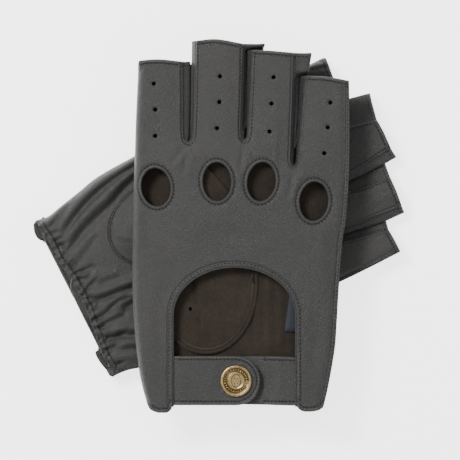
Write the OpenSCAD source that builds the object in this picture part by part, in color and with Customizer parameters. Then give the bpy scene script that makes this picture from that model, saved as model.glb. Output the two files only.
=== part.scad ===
// Pair of fingerless driving gloves, laid one across the other.
// The right glove is on top with its back up; the left glove is below with its palm up.
// Each glove is described once, in a hand frame: +X towards the little finger, +Y towards the
// fingertips, Z = 0 on the outside of the palm and rising to the outside of the back.

/* [Leather] */
// Thickness of the glove leather
leather = 1.0; // [0.6:0.1:1.4]
// Thickness of turned facings, hems and linings
facing = 0.6; // [0.4:0.1:0.8]
// Room for the hand between palm and back
hand_room = 10; // [9:0.5:14]
// Free gap between pieces that move apart
clearance = 0.3; // [0.3:0.1:0.6]

/* [Hand] */
// Width of the cuff
cuff_width = 84; // [72:1:96]
// Width of the hand at the finger roots
hand_width = 102; // [90:1:114]
// Height of the index side's fullest point above the cuff
fullest_height = 65; // [50:1:80]
// Width of the outseam ridge on the little-finger side
outseam_width = 2; // [1.5:0.1:3]
// Height of the palm's cuff edge above the lobes of the back
palm_cuff_rise = 4; // [2:0.5:8]

/* [Fingers] */
// Height of the index fingertip edge above the cuff
index_height = 165.5; // [150:0.5:180]
// Height of the middle fingertip edge above the cuff
middle_height = 175; // [158:0.5:190]
// Height of the ring fingertip edge above the cuff
ring_height = 170.5; // [154:0.5:185]
// Height of the little fingertip edge above the cuff
little_height = 158; // [144:0.5:172]
// Height of the two inner finger crotches above the cuff
crotch_height = 127.5; // [118:0.5:136]
// Height of the crotch beside the little finger
low_crotch_height = 115.5; // [108:0.5:124]
// Gap between neighbouring fingers at the tips
tip_gap = 4.6; // [2:0.2:6]
// Gap between neighbouring fingers at the crotch
crotch_gap = 3.4; // [2.4:0.2:4]

/* [Holes] */
// Width of a knuckle hole
knuckle_hole_width = 13.4; // [11:0.2:14]
// Length of a knuckle hole
knuckle_hole_length = 18.2; // [15:0.2:20]
// Diameter of an air hole in a finger
air_hole_diameter = 2; // [1.5:0.1:3]
// Spacing of the air holes along a finger
air_hole_pitch = 12.2; // [10:0.2:13]
// Width of the back opening
opening_width = 57; // [50:1:60]
// Height of the back opening above the cuff
opening_height = 68.3; // [60:0.5:72]
// Height where the sides of the back opening start to curve
opening_spring = 46; // [38:0.5:50]
// Width of the turned edge around the back opening
binding_width = 3; // [2:0.2:4]
// Width of the turned rim around a knuckle hole
rim_width = 1.6; // [1.2:0.1:2]

/* [Thumb] */
// Half width of the thumb hole
thumb_hole_half_width = 23; // [19:0.5:24]
// Half length of the thumb hole
thumb_hole_half_length = 32; // [26:0.5:34]
// Width of the thumb stall at its open end
thumb_tip_width = 33; // [28:0.5:38]
// Length of the thumb stall from the middle of its hole
thumb_length = 62; // [50:1:70]
// Gap left inside the thumb stall when pressed flat
thumb_room = 0.6; // [0.4:0.1:1]
// Direction of the right thumb, from the little-finger side round to the fingertips
right_thumb_angle = 60; // [45:1:90]
// Direction of the left thumb, from the little-finger side round to the fingertips
left_thumb_angle = 75; // [60:1:100]

/* [Strap and snap] */
// Width of the strap
strap_width = 23.2; // [18:0.2:25]
// Height of the strap's middle above the cuff
strap_height = 15.2; // [13:0.2:18]
// Length of the stud tab under the strap
stud_tab_reach = 26; // [20:0.5:34]
// Diameter of the brass cap
cap_diameter = 15; // [12:0.5:17]
// Height of the brass cap
cap_rise = 1.4; // [1:0.1:2]
// Diameter of the socket
socket_diameter = 12; // [10:0.5:13]
// Height of the socket
socket_rise = 1.2; // [1:0.1:1.6]
// Diameter of the stud's head
stud_diameter = 4; // [3:0.1:5]
// Angle by which the left glove is turned from the right one
left_turn = 63; // [45:1:80]

/* [Hidden] */
$fn = 48;

charcoal = [0.20, 0.20, 0.20];
suede = [0.24, 0.20, 0.16];
brass = [0.72, 0.60, 0.36];
elastic_black = [0.09, 0.09, 0.09];
label_grey = [0.32, 0.37, 0.44];

// Levels through one glove, from the outside of the palm up.
back_under = leather + hand_room;
glove_thickness = back_under + leather;
thumb_thickness = 2 * leather + thumb_room;
lining_thickness = 0.5;
flange_thickness = 0.3;
cap_base = glove_thickness - cap_rise;
strap_base = cap_base - leather;
lining_base = strap_base - lining_thickness;
socket_base = lining_base - socket_rise;
stud_flange_top = socket_base - clearance;
tab_top = stud_flange_top - flange_thickness;
tab_base = tab_top - leather;
right_base = glove_thickness + 2 * thumb_thickness + 3 * clearance;

// Where each glove's hand frame sits.
right_x = 7.8;
right_y = -88;
left_x = -73.5;
left_y = -35;

// Outlines.
curve_steps = 8;
oval_steps = 36;
thumb_hole_centre = [-14, 61];
cuff_corner_height = 4.7;
index_side = -(hand_width / 2 - 2.4);
little_side = hand_width / 2 + 2.6;
opening_centre = -0.5;
opening_half = opening_width / 2;
binding_inner = 0.9;
snap_centre = [0.2, strap_height];
strap_root = opening_centre - opening_half + 0.1 + clearance;
strap_axis_x = strap_root + leather / 2;

function bend(a, b, c, t) = (1 - t) * (1 - t) * a + 2 * t * (1 - t) * b + t * t * c;
function curve(a, b, c) = [for (i = [0 : curve_steps]) bend(a, b, c, i / curve_steps)];
function reversed(points) = [for (i = [len(points) - 1 : -1 : 0]) points[i]];
function shifted(points, dx) = [for (p = points) [p[0] + dx, p[1]]];
function up_to(points, top) = [for (p = points) if (p[1] <= top) p];

function oval(centre, half_width, half_length, tilt) = [
    for (i = [0 : oval_steps - 1])
    let (a = 360 * i / oval_steps, x = half_width * cos(a), y = half_length * sin(a))
    [centre[0] + x * cos(tilt) - y * sin(tilt), centre[1] + x * sin(tilt) + y * cos(tilt)]
];

// Index side of the hand, from the cuff up to the fingertip.
index_cuff = [-cuff_width / 2, cuff_corner_height];
index_full = [index_side, fullest_height];
index_tip = [index_side + 2.6, index_height];
index_edge = concat(
    curve(index_cuff, [index_side + 0.4, 25], index_full),
    curve(index_full, [index_side, 120], index_tip)
);

// Little-finger side, along the seam inside the outseam ridge.
little_cuff = [cuff_width / 2 - outseam_width, cuff_corner_height];
little_full = [little_side - 3.1 - outseam_width, 79];
little_tip = [little_side - outseam_width, little_height - 1.5];
little_edge = concat(
    curve(little_cuff, [cuff_width / 2 + 5.6 - outseam_width, 35], little_full),
    curve(little_full, [little_side + 0.6 - outseam_width, 110], little_tip)
);

// Middles of the three gaps between fingers, at the crotch and at the tips.
gap_roots = [[-22.2, crotch_height], [4.2, crotch_height + 0.5], [27.6, low_crotch_height]];
gap_tips = [[-21.9, index_height], [5.4, ring_height], [30, little_height]];

// One edge of a finger gap; side is -1 for the finger on the index side and +1 for the other one.
function gap_root(i, side) = gap_roots[i] + [side * crotch_gap / 2, 1.6];
function gap_top(i, side, height) = [gap_tips[i][0] + side * tip_gap / 2, height];

fingers = [
    gap_top(0, -1, index_height + 0.8), gap_root(0, -1), gap_roots[0], gap_root(0, 1),
    gap_top(0, 1, middle_height + 0.8), gap_top(1, -1, middle_height - 1),
    gap_root(1, -1), gap_roots[1], gap_root(1, 1),
    gap_top(1, 1, ring_height + 0.6), gap_top(2, -1, ring_height - 0.8),
    gap_root(2, -1), gap_roots[2], gap_root(2, 1), gap_top(2, 1, little_height + 1)
];

// Edge of the back opening, from the index side over the top to the little-finger side.
function opening_edge(grow) = [
    for (i = [0 : oval_steps / 2])
    let (a = 180 - 360 * i / oval_steps)
    [
        opening_centre + (opening_half + grow) * cos(a),
        opening_spring + (opening_height - opening_spring + grow) * sin(a)
    ]
];
function lobe_inner(side, grow) = opening_centre + side * (opening_half + grow);

// Rounded ends of the two lobes beside the strap.
left_lobe = [[lobe_inner(-1, binding_inner), 2.6], [-31.6, 0.6], [-33, 0], [-37, 0], [-40, 1.6]];
right_lobe = [[39, 1.6], [35, 0.6], [31, 1], [lobe_inner(1, binding_inner), 3.2]];

module back_outline() {
    polygon(concat(
        index_edge, fingers, reversed(little_edge), right_lobe,
        reversed(opening_edge(binding_inner)), left_lobe
    ));
}

module palm_outline() {
    polygon(concat(
        [[-cuff_width / 2 + 0.2, palm_cuff_rise]], index_edge, fingers, reversed(little_edge),
        [[cuff_width / 2 - 0.2 - outseam_width, palm_cuff_rise]]
    ));
}

knuckles = [[-37.2, 106.2, 8], [-8.7, 108.8, 2], [12.2, 108.8, -7], [36.9, 99.6, -5]];
air_hole_starts = [[-37.9, 130.6], [-8.5, 134], [16.2, 132.6], [42, 122.2]];
air_hole_drifts = [0, 0.6, 0.8, 1.4];

module knuckle_ovals(grow) {
    for (k = knuckles) {
        polygon(oval(
            [k[0], k[1]], knuckle_hole_width / 2 + grow, knuckle_hole_length / 2 + grow, k[2]
        ));
    }
}

module air_holes() {
    for (finger = [0 : 3], step = [0 : 2]) {
        start = air_hole_starts[finger];
        translate([start[0] + step * air_hole_drifts[finger], start[1] + step * air_hole_pitch, back_under - 1])
            cylinder(d = air_hole_diameter, h = leather + 2);
    }
}

module side_wall(edge, inward) {
    translate([0, 0, leather])
        linear_extrude(hand_room)
            polygon(concat(edge, reversed(shifted(edge, inward))));
}

module thumb_hole(grow) {
    polygon(oval(thumb_hole_centre, thumb_hole_half_width + grow, thumb_hole_half_length + grow, 0));
}

module trank() {
    difference() {
        translate([0, 0, back_under])
            linear_extrude(leather)
                back_outline();
        translate([0, 0, back_under - 1])
            linear_extrude(leather + 2)
                knuckle_ovals(binding_inner);
        air_holes();
    }
    difference() {
        linear_extrude(leather)
            palm_outline();
        translate([0, 0, -1])
            linear_extrude(leather + 2)
                thumb_hole(0);
    }
    side_wall(index_edge, leather);
    side_wall(little_edge, -leather);
    translate([0, 0, leather + hand_room / 2 - leather])
        linear_extrude(2 * leather)
            polygon(concat(little_edge, reversed(shifted(little_edge, outseam_width))));
}

// Forked side strip between two fingers: down one finger, round the crotch and up the other.
module fourchette(i, index_side_height, little_side_height) {
    inset = 0.4;
    outer_a = gap_top(i, -1, index_side_height) - [inset, 0.6];
    root_a = gap_root(i, -1) - [inset, 0];
    floor_mid = gap_roots[i] - [0, inset];
    root_b = gap_root(i, 1) + [inset, 0];
    outer_b = gap_top(i, 1, little_side_height) + [inset, -0.6];
    across = [leather, 0];
    translate([0, 0, leather])
        linear_extrude(hand_room)
            polygon([
                outer_a, root_a, floor_mid, root_b, outer_b,
                outer_b + across, root_b + across, floor_mid - [0, 1.4 * leather],
                root_a - across, outer_a - across
            ]);
}

// The stall lies pressed flat against the palm, on its outer side.
module thumb_plan(inset, angle, extra) {
    half_tip = thumb_tip_width / 2 - inset;
    half_root = thumb_hole_half_width - inset;
    union() {
        polygon(oval(
            thumb_hole_centre,
            thumb_hole_half_width + 1.5 - inset,
            thumb_hole_half_length + 1.5 - inset, 0
        ));
        translate(thumb_hole_centre)
            rotate(angle)
                polygon([
                    [0, -half_root], [thumb_length + extra, -half_tip],
                    [thumb_length + extra, half_tip], [0, half_root]
                ]);
    }
}

module thumb_stall(angle) {
    floor_level = -clearance - thumb_thickness;
    difference() {
        translate([0, 0, floor_level])
            linear_extrude(thumb_thickness)
                thumb_plan(0, angle, 0);
        translate([0, 0, floor_level + leather])
            linear_extrude(thumb_room)
                thumb_plan(leather, angle, 1);
        translate([0, 0, floor_level + leather])
            linear_extrude(thumb_thickness)
                thumb_hole(-leather);
    }
}

module thumb_gusset() {
    translate([0, 0, -clearance])
        linear_extrude(leather + clearance)
            difference() {
                thumb_hole(0);
                thumb_hole(-leather);
            }
}

module opening_ring(outer, inner, foot) {
    polygon(concat(
        [[lobe_inner(-1, outer), foot]], opening_edge(outer), [[lobe_inner(1, outer), foot]],
        [[lobe_inner(1, inner), foot]], reversed(opening_edge(inner)), [[lobe_inner(-1, inner), foot]]
    ));
}

// The binding lines the edge of the opening and turns under the leather.
module opening_binding() {
    foot = 3.4;
    translate([0, 0, back_under])
        linear_extrude(leather)
            opening_ring(binding_inner, 0, foot);
    translate([0, 0, back_under - facing])
        linear_extrude(facing)
            opening_ring(binding_width, 0, foot);
}

module knuckle_facings() {
    translate([0, 0, back_under])
        linear_extrude(leather)
            difference() {
                knuckle_ovals(binding_inner);
                knuckle_ovals(0);
            }
    translate([0, 0, back_under - facing])
        linear_extrude(facing)
            difference() {
                knuckle_ovals(rim_width);
                knuckle_ovals(0);
            }
}

// Turned band inside the cuff: along the palm, up both sides and under the two lobes.
module cuff_hem() {
    hem_low = palm_cuff_rise + 1;
    hem_high = hem_low + 6;
    lobe_reach = 6;
    index_wall = -cuff_width / 2 + 0.2;
    little_wall = cuff_width / 2 - outseam_width - 0.2;
    difference() {
        translate([0, 0, leather])
            linear_extrude(hand_room)
                hem_plan(leather, hem_low, hem_high);
        translate([0, 0, leather + facing])
            linear_extrude(hand_room - 2 * facing)
                hem_plan(leather + facing, hem_low - 1, hem_high + 1);
        translate([index_wall + lobe_reach, 0, leather + hand_room / 2])
            cube([little_wall - index_wall - 2 * lobe_reach, hem_high + 2, hand_room]);
    }
}

function side_at(edge, height) = lookup(height, [for (p = edge) [p[1], p[0]]]);
module hem_plan(inset, low, high) {
    polygon([
        [side_at(index_edge, low) + inset, low], [side_at(index_edge, high) + inset, high],
        [side_at(little_edge, high) - inset, high], [side_at(little_edge, low) - inset, low]
    ]);
}

module wrist_elastic() {
    elastic_low = 18;
    elastic_width = 6;
    elastic_half = cuff_width / 2 - 4;
    elastic_thickness = 0.7;
    translate([-elastic_half, elastic_low, leather])
        cube([2 * elastic_half, elastic_width, elastic_thickness]);
}

module strap_plan(inset, root) {
    half = strap_width / 2 - inset;
    translate([root, snap_centre[1] - half])
        square([snap_centre[0] - root, 2 * half]);
    translate(snap_centre)
        circle(r = half);
}

shank_diameter = 3;
module shank_hole(base, height) {
    translate([snap_centre[0], snap_centre[1], base - 0.5])
        cylinder(d = shank_diameter, h = height + 1);
}

// The strap's root is round, so that it turns beside the lobe without touching it.
module strap() {
    difference() {
        union() {
            translate([0, 0, strap_base])
                linear_extrude(leather)
                    strap_plan(0, strap_axis_x);
            translate([strap_axis_x, snap_centre[1] - strap_width / 2, strap_base + leather / 2])
                rotate([-90, 0, 0])
                    cylinder(d = leather, h = strap_width);
        }
        shank_hole(strap_base, leather);
    }
}

module strap_lining() {
    difference() {
        translate([0, 0, lining_base])
            linear_extrude(lining_thickness)
                strap_plan(0.8, strap_axis_x + 1.5);
        shank_hole(lining_base, lining_thickness);
    }
}

// The stud tab slopes down from under the little-finger lobe and ends in a half circle.
module stud_tab() {
    tab_half = strap_width / 2 - 0.6;
    tab_end = lobe_inner(1, binding_width - 0.4);
    tab_left = tab_end - stud_tab_reach - 2.5;
    slope_start = snap_centre[0] + 15.5;
    slope_end = slope_start + 6;
    root_top = back_under - facing;
    difference() {
        intersection() {
            translate([0, snap_centre[1] + tab_half, 0])
                rotate([90, 0, 0])
                    linear_extrude(2 * tab_half)
                        polygon([
                            [tab_left, tab_base], [slope_start, tab_base], [slope_end, root_top - leather],
                            [tab_end, root_top - leather], [tab_end, root_top], [slope_end - 0.3, root_top],
                            [slope_start - 0.3, tab_top], [tab_left, tab_top]
                        ]);
            linear_extrude(glove_thickness)
                union() {
                    translate(snap_centre)
                        circle(r = tab_half);
                    translate([snap_centre[0], snap_centre[1] - tab_half])
                        square([tab_end, 2 * tab_half]);
                }
        }
        shank_hole(tab_base, leather);
    }
}

// Domed cap with a raised rim and a bead ring, on a shank that passes through the strap.
module snap_cap() {
    cap_radius = cap_diameter / 2;
    rim_height = cap_rise - 0.1;
    groove_height = cap_rise - 0.45;
    groove_outer = cap_radius - 1.3;
    groove_inner = cap_radius - 3.2;
    bead_count = 24;
    translate([snap_centre[0], snap_centre[1], cap_base]) {
        rotate_extrude()
            polygon([
                [0, 0], [cap_radius, 0], [cap_radius, rim_height - 0.4], [cap_radius - 0.3, rim_height],
                [cap_radius - 0.9, rim_height], [groove_outer, groove_height],
                [groove_inner, groove_height], [groove_inner - 0.3, rim_height],
                [groove_inner / 2, cap_rise], [0, cap_rise]
            ]);
        for (i = [0 : bead_count - 1]) {
            rotate(360 * i / bead_count)
                translate([(groove_outer + groove_inner) / 2, 0, groove_height - 0.2])
                    cylinder(d = 0.8, h = 0.45);
        }
        translate([0, 0, lining_base - cap_base - 0.4])
            cylinder(d = shank_diameter, h = cap_base - lining_base + 0.8);
    }
}

stud_bore = stud_diameter + 2 * clearance;
spring_seat = stud_diameter / 2 + clearance + 1;
spring_level = socket_base + 0.45;

module snap_socket() {
    plate_thickness = 0.35;
    difference() {
        translate([snap_centre[0], snap_centre[1], socket_base])
            cylinder(d = socket_diameter, h = socket_rise);
        translate([snap_centre[0], snap_centre[1], socket_base - 1])
            cylinder(d = stud_bore + 0.4, h = socket_rise - plate_thickness + 1);
        translate([snap_centre[0], snap_centre[1], spring_level - 0.3])
            cylinder(r = spring_seat + 0.3, h = 0.6);
        translate([snap_centre[0], snap_centre[1], socket_base - 1])
            cylinder(d = shank_diameter + 0.02, h = socket_rise + 2);
    }
}

module snap_spring() {
    wire_radius = 0.22;
    translate([snap_centre[0], snap_centre[1], spring_level])
        rotate_extrude()
            translate([spring_seat - 0.2, 0])
                circle(r = wire_radius);
}

module snap_stud() {
    head_top = lining_base - 0.4 - clearance;
    translate([snap_centre[0], snap_centre[1], tab_top]) {
        difference() {
            union() {
                cylinder(d = socket_diameter - 1, h = flange_thickness);
                cylinder(d = stud_diameter - 0.4, h = head_top - tab_top);
                translate([0, 0, head_top - tab_top - 0.5])
                    cylinder(d = stud_diameter, h = 0.5);
            }
            translate([0, 0, -1])
                cylinder(d = shank_diameter - 0.4, h = 1.4);
        }
    }
}

module snap_post() {
    translate([snap_centre[0], snap_centre[1], tab_base - flange_thickness]) {
        cylinder(d = socket_diameter - 1, h = flange_thickness);
        cylinder(d = shank_diameter - 0.4, h = flange_thickness + leather + 0.4);
    }
}

module size_label() {
    label_width = 12;
    label_length = 18;
    label_thickness = 0.4;
    label_left = 30;
    label_low = 38;
    translate([label_left - label_width + 4, label_low, leather])
        cube([label_width, label_length, label_thickness]);
}

module right_place() {
    translate([right_x, right_y, right_base])
        children();
}

module left_place() {
    translate([left_x, left_y, glove_thickness])
        rotate([0, 0, -left_turn])
            mirror([0, 0, 1])
                children();
}

module right_trank() { color(charcoal) right_place() trank(); }
module right_fourchette_index() { color(charcoal) right_place() fourchette(0, index_height, middle_height); }
module right_fourchette_middle() { color(charcoal) right_place() fourchette(1, middle_height - 2, ring_height); }
module right_fourchette_ring() { color(charcoal) right_place() fourchette(2, ring_height - 2, little_height); }
module right_thumb_stall() { color(charcoal) right_place() thumb_stall(right_thumb_angle); }
module right_thumb_gusset() { color(suede) right_place() thumb_gusset(); }
module right_opening_binding() { color(charcoal) right_place() opening_binding(); }
module right_knuckle_facings() { color(charcoal) right_place() knuckle_facings(); }
module right_cuff_hem() { color(charcoal) right_place() cuff_hem(); }
module right_wrist_elastic() { color(elastic_black) right_place() wrist_elastic(); }
module right_strap() { color(charcoal) right_place() strap(); }
module right_strap_lining() { color(charcoal) right_place() strap_lining(); }
module right_stud_tab() { color(charcoal) right_place() stud_tab(); }
module right_snap_cap() { color(brass) right_place() snap_cap(); }
module right_snap_socket() { color(brass) right_place() snap_socket(); }
module right_snap_spring() { color(brass) right_place() snap_spring(); }
module right_snap_stud() { color(brass) right_place() snap_stud(); }
module right_snap_post() { color(brass) right_place() snap_post(); }
module right_size_label() { color(label_grey) right_place() size_label(); }
module left_trank() { color(charcoal) left_place() trank(); }
module left_fourchette_index() { color(charcoal) left_place() fourchette(0, index_height, middle_height); }
module left_fourchette_middle() { color(charcoal) left_place() fourchette(1, middle_height - 2, ring_height); }
module left_fourchette_ring() { color(charcoal) left_place() fourchette(2, ring_height - 2, little_height); }
module left_thumb_stall() { color(charcoal) left_place() thumb_stall(left_thumb_angle); }
module left_thumb_gusset() { color(suede) left_place() thumb_gusset(); }
module left_opening_binding() { color(charcoal) left_place() opening_binding(); }
module left_knuckle_facings() { color(charcoal) left_place() knuckle_facings(); }
module left_cuff_hem() { color(charcoal) left_place() cuff_hem(); }
module left_wrist_elastic() { color(elastic_black) left_place() wrist_elastic(); }
module left_strap() { color(charcoal) left_place() strap(); }
module left_strap_lining() { color(charcoal) left_place() strap_lining(); }
module left_stud_tab() { color(charcoal) left_place() stud_tab(); }
module left_snap_cap() { color(brass) left_place() snap_cap(); }
module left_snap_socket() { color(brass) left_place() snap_socket(); }
module left_snap_spring() { color(brass) left_place() snap_spring(); }
module left_snap_stud() { color(brass) left_place() snap_stud(); }
module left_snap_post() { color(brass) left_place() snap_post(); }

right_trank();
right_fourchette_index();
right_fourchette_middle();
right_fourchette_ring();
right_thumb_stall();
right_thumb_gusset();
right_opening_binding();
right_knuckle_facings();
right_cuff_hem();
right_wrist_elastic();
right_strap();
right_strap_lining();
right_stud_tab();
right_snap_cap();
right_snap_socket();
right_snap_spring();
right_snap_stud();
right_snap_post();
right_size_label();
left_trank();
left_fourchette_index();
left_fourchette_middle();
left_fourchette_ring();
left_thumb_stall();
left_thumb_gusset();
left_opening_binding();
left_knuckle_facings();
left_cuff_hem();
left_wrist_elastic();
left_strap();
left_strap_lining();
left_stud_tab();
left_snap_cap();
left_snap_socket();
left_snap_spring();
left_snap_stud();
left_snap_post();
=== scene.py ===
import math
import random

import bmesh
import bpy
import numpy as np
from mathutils import Matrix, Vector, noise


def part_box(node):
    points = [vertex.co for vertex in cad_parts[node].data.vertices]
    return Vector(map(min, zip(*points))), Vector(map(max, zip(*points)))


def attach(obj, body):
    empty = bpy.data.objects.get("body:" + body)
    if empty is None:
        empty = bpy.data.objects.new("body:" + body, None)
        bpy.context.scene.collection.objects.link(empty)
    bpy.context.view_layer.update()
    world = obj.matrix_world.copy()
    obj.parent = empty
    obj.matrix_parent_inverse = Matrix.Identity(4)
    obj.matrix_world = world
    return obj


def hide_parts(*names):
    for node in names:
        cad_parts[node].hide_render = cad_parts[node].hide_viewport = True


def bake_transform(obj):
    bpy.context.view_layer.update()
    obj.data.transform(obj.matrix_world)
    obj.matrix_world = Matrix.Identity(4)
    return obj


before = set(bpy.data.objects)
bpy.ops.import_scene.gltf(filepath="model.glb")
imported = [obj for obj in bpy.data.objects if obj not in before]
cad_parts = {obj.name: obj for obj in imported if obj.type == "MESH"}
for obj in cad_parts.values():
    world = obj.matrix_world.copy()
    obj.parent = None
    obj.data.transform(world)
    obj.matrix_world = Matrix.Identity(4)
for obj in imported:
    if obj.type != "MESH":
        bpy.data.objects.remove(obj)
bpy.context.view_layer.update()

MM = 0.001

# ---------------------------------------------------------------------------------------------
# Hand frame, in millimetres: u towards the little finger, v towards the fingertips, and h from
# the outside of the palm (0) to the outside of the back (12). Each glove's place is read from
# the brass cap of its snap, which sits at SNAP in the hand frame.
# ---------------------------------------------------------------------------------------------
GLOVE_THICKNESS = 12.0
SNAP = (0.2, 15.2)
LEFT_TURN = math.radians(-63)


def cap_place(node, turn):
    """Where a glove's hand frame starts in plan, and the bottom and top of its cap."""
    low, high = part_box(node)
    x, y = (low[0] + high[0]) / 2 / MM, (low[1] + high[1]) / 2 / MM
    c, s = math.cos(turn), math.sin(turn)
    return x - (c * SNAP[0] - s * SNAP[1]), y - (s * SNAP[0] + c * SNAP[1]), low[2] / MM, high[2] / MM


right_x, right_y, _, right_top = cap_place("right_snap_cap", 0.0)
left_x, left_y, left_low, _ = cap_place("left_snap_cap", LEFT_TURN)
PLACES = {
    "right": Matrix.Translation((right_x, right_y, right_top - GLOVE_THICKNESS)),
    "left": Matrix.Translation((left_x, left_y, left_low)) @ Matrix.Rotation(LEFT_TURN, 4, "Z"),
}


def flipped(side):
    """The left glove lies palm up, so its back faces down."""
    return side == "left"


# ---------------------------------------------------------------------------------------------
# Lines and distances
# ---------------------------------------------------------------------------------------------
def smooth_line(points, step, closed=False):
    """A smooth line through the points, with vertices about a step apart."""
    p = np.array(points, float)
    if closed:
        p = np.vstack([p[-1], p, p[0], p[1]])
    else:
        p = np.vstack([2 * p[0] - p[1], p, 2 * p[-1] - p[-2]])
    dense = []
    for i in range(1, len(p) - 2):
        for t in np.linspace(0, 1, 12, endpoint=False):
            a, b, c, d = p[i - 1], p[i], p[i + 1], p[i + 2]
            dense.append(0.5 * (2 * b + (c - a) * t + (2 * a - 5 * b + 4 * c - d) * t ** 2
                                + (3 * b - a - 3 * c + d) * t ** 3))
    dense.append(p[-2])
    return spaced(np.array(dense), step)


def spaced(line, step):
    """The same line with even spacing."""
    line = np.array(line, float)
    gaps = np.linalg.norm(np.diff(line, axis=0), axis=1)
    run = np.concatenate([[0], np.cumsum(gaps)])
    count = max(2, int(round(run[-1] / step)) + 1)
    at = np.linspace(0, run[-1], count)
    return np.stack([np.interp(at, run, line[:, k]) for k in range(line.shape[1])], axis=1)


def reach(points, line):
    """Distance to a line, signed by side (positive to its left), and how far along it from 0 to 1."""
    a, b = line[:-1], line[1:]
    ab = b - a
    length = np.linalg.norm(ab, axis=1)
    run = np.concatenate([[0], np.cumsum(length)])
    best = np.full(len(points), 1e9)
    sign = np.ones(len(points))
    along = np.zeros(len(points))
    for i in range(len(a)):
        if length[i] < 1e-9:
            continue
        ap = points - a[i]
        t = np.clip((ap @ ab[i]) / length[i] ** 2, 0, 1)
        gap = ap - t[:, None] * ab[i]
        d = np.hypot(gap[:, 0], gap[:, 1])
        closer = d < best
        best[closer] = d[closer]
        cross = ab[i][0] * ap[:, 1] - ab[i][1] * ap[:, 0]
        sign[closer] = np.where(cross[closer] >= 0, 1, -1)
        along[closer] = (run[i] + t[closer] * length[i]) / run[-1]
    return best, sign, along


def distance(points, line):
    return reach(points, line)[0]


def smoothstep(low, high, x):
    t = np.clip((x - low) / (high - low), 0, 1)
    return t * t * (3 - 2 * t)


def rolled(d, width):
    """1 on the flat and 0 at the edge, along a quarter round."""
    t = 1 - np.clip(d / width, 0, 1)
    return np.sqrt(np.maximum(0, 1 - t * t))


def waves(points, scale, seed):
    return np.array([noise.noise(Vector((p[0] / scale, p[1] / scale, seed))) for p in points])


# ---------------------------------------------------------------------------------------------
# Outlines of one glove
# ---------------------------------------------------------------------------------------------
STEP = 1.1

INDEX_SIDE = {
    "right": [(-42, 4.7), (-44, 12), (-45.4, 19), (-46.8, 30), (-47.7, 39), (-48.6, 56), (-48.6, 77),
              (-48.2, 100), (-47.6, 121), (-47, 140), (-46.4, 153), (-46, 162.5)],
    "left": [(-40, 4.6), (-39, 10.4), (-40.6, 18.2), (-43, 30), (-44.8, 37.8), (-45.6, 47), (-46, 61),
             (-46.8, 80), (-47.4, 100), (-47.4, 121), (-47.2, 140), (-47, 153), (-46.9, 161)],
}
LITTLE_SIDE = {
    "right": [(41.9, 4.7), (43.4, 11), (45.3, 21), (47, 32), (47.8, 44), (48.5, 56), (50.2, 79),
              (52.2, 93), (53.4, 112), (53.7, 124), (53.7, 140), (53.5, 156.4)],
    "left": [(43, 5), (43.7, 11.7), (45.4, 18.5), (47, 32), (47.8, 44), (48.5, 56), (49.6, 79),
             (50.8, 93), (51.6, 112), (52.2, 124), (52.4, 140), (52.3, 152.9)],
}
INDEX_LOBE = {
    "right": [(-29.4, 3.4), (-30.4, 1.5), (-32.2, 0.1), (-34.5, 0), (-36.8, 0.1), (-39.6, 1.2), (-41.2, 2.8)],
    "left": [(-29.2, 4.4), (-30, 2.6), (-31.6, 1.4), (-33.8, 1.0), (-36.2, 1.4), (-38.6, 2.5), (-39.9, 3.9)],
}
LITTLE_LOBE = {
    "right": [(41.4, 2.8), (39.6, 1.4), (37, 0.7), (34, 0.5), (31.4, 0.8), (29.6, 2), (28.4, 4)],
    "left": [(43.4, 3.6), (40.7, 2.4), (37, 1.4), (33.6, 0.8), (31, 0.7), (29, 1.1), (28.2, 3.4)],
}
OPENING = dict(centre=-0.5, half=28.5, spring=46.0, rise=22.3, foot=3.4)

# Gaps between the fingers as (edge of the lower-numbered finger, crotch, edge of the next one).
GAPS = {
    "right": [
        [(-24.7, 165.4), (-24.6, 150), (-24.5, 134), (-24.1, 129.4), (-23.1, 127.5), (-21.8, 127.1),
         (-20.5, 128), (-19.8, 130.5), (-19.5, 136), (-19, 150), (-18.7, 175.2)],
        [(3.4, 173.9), (3.2, 155), (2.6, 137), (2.7, 131), (3.4, 128.6), (4.5, 128), (5.6, 128.9),
         (6.3, 131.5), (6.6, 137), (7.5, 155), (8.2, 171)],
        [(27.4, 169.6), (27, 150), (26.1, 126), (25.9, 119), (26.6, 116.4), (27.8, 115.7),
         (28.9, 116.8), (29.6, 120), (30.5, 130), (31.8, 145), (33, 158.8)],
    ],
    "left": [
        [(-27, 161), (-25.5, 148), (-24.4, 134), (-23.9, 129.4), (-22.9, 127.5), (-21.6, 127.1),
         (-20.3, 128), (-19.2, 130.5), (-17.8, 136), (-13.5, 150), (-8.8, 171.4)],
        [(6.2, 171.2), (7.8, 148), (5.4, 136), (4.2, 131), (4.3, 128.6), (5.2, 128), (6.4, 128.9),
         (8.2, 131.5), (10.6, 136), (16, 146), (18.6, 164.6)],
        [(33, 163.4), (30.6, 138), (28.2, 126), (27.2, 119), (27.4, 116.4), (28.4, 115.7),
         (29.6, 116.8), (31, 120), (34.8, 128), (37.6, 140), (40.4, 152.6)],
    ],
}
TIPS = {
    "right": [
        [(-46, 162.5), (-45.7, 165), (-44.6, 165.9), (-36, 166.5), (-24.7, 165.4)],
        [(-18.7, 175.2), (-9, 176), (3.4, 173.9)],
        [(8.2, 171), (18, 170.4), (27.4, 169.6)],
        [(33, 158.8), (43, 158.2), (53.6, 156.4)],
    ],
    "left": [
        [(-46.9, 161), (-46.4, 162.6), (-45, 163), (-36, 162), (-27, 161)],
        [(-8.8, 171.4), (-2, 171.6), (6.2, 171.2)],
        [(18.6, 164.6), (26, 164.2), (33, 163.4)],
        [(40.4, 152.6), (46, 152.9), (52.2, 152.9)],
    ],
}
# How much of each gap the first finger's strip fills; the next finger's strip fills the rest from below.
STRIP_SHARE = {"right": [0.58, None, None], "left": [0.22, 0.42, 0.5]}
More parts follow.
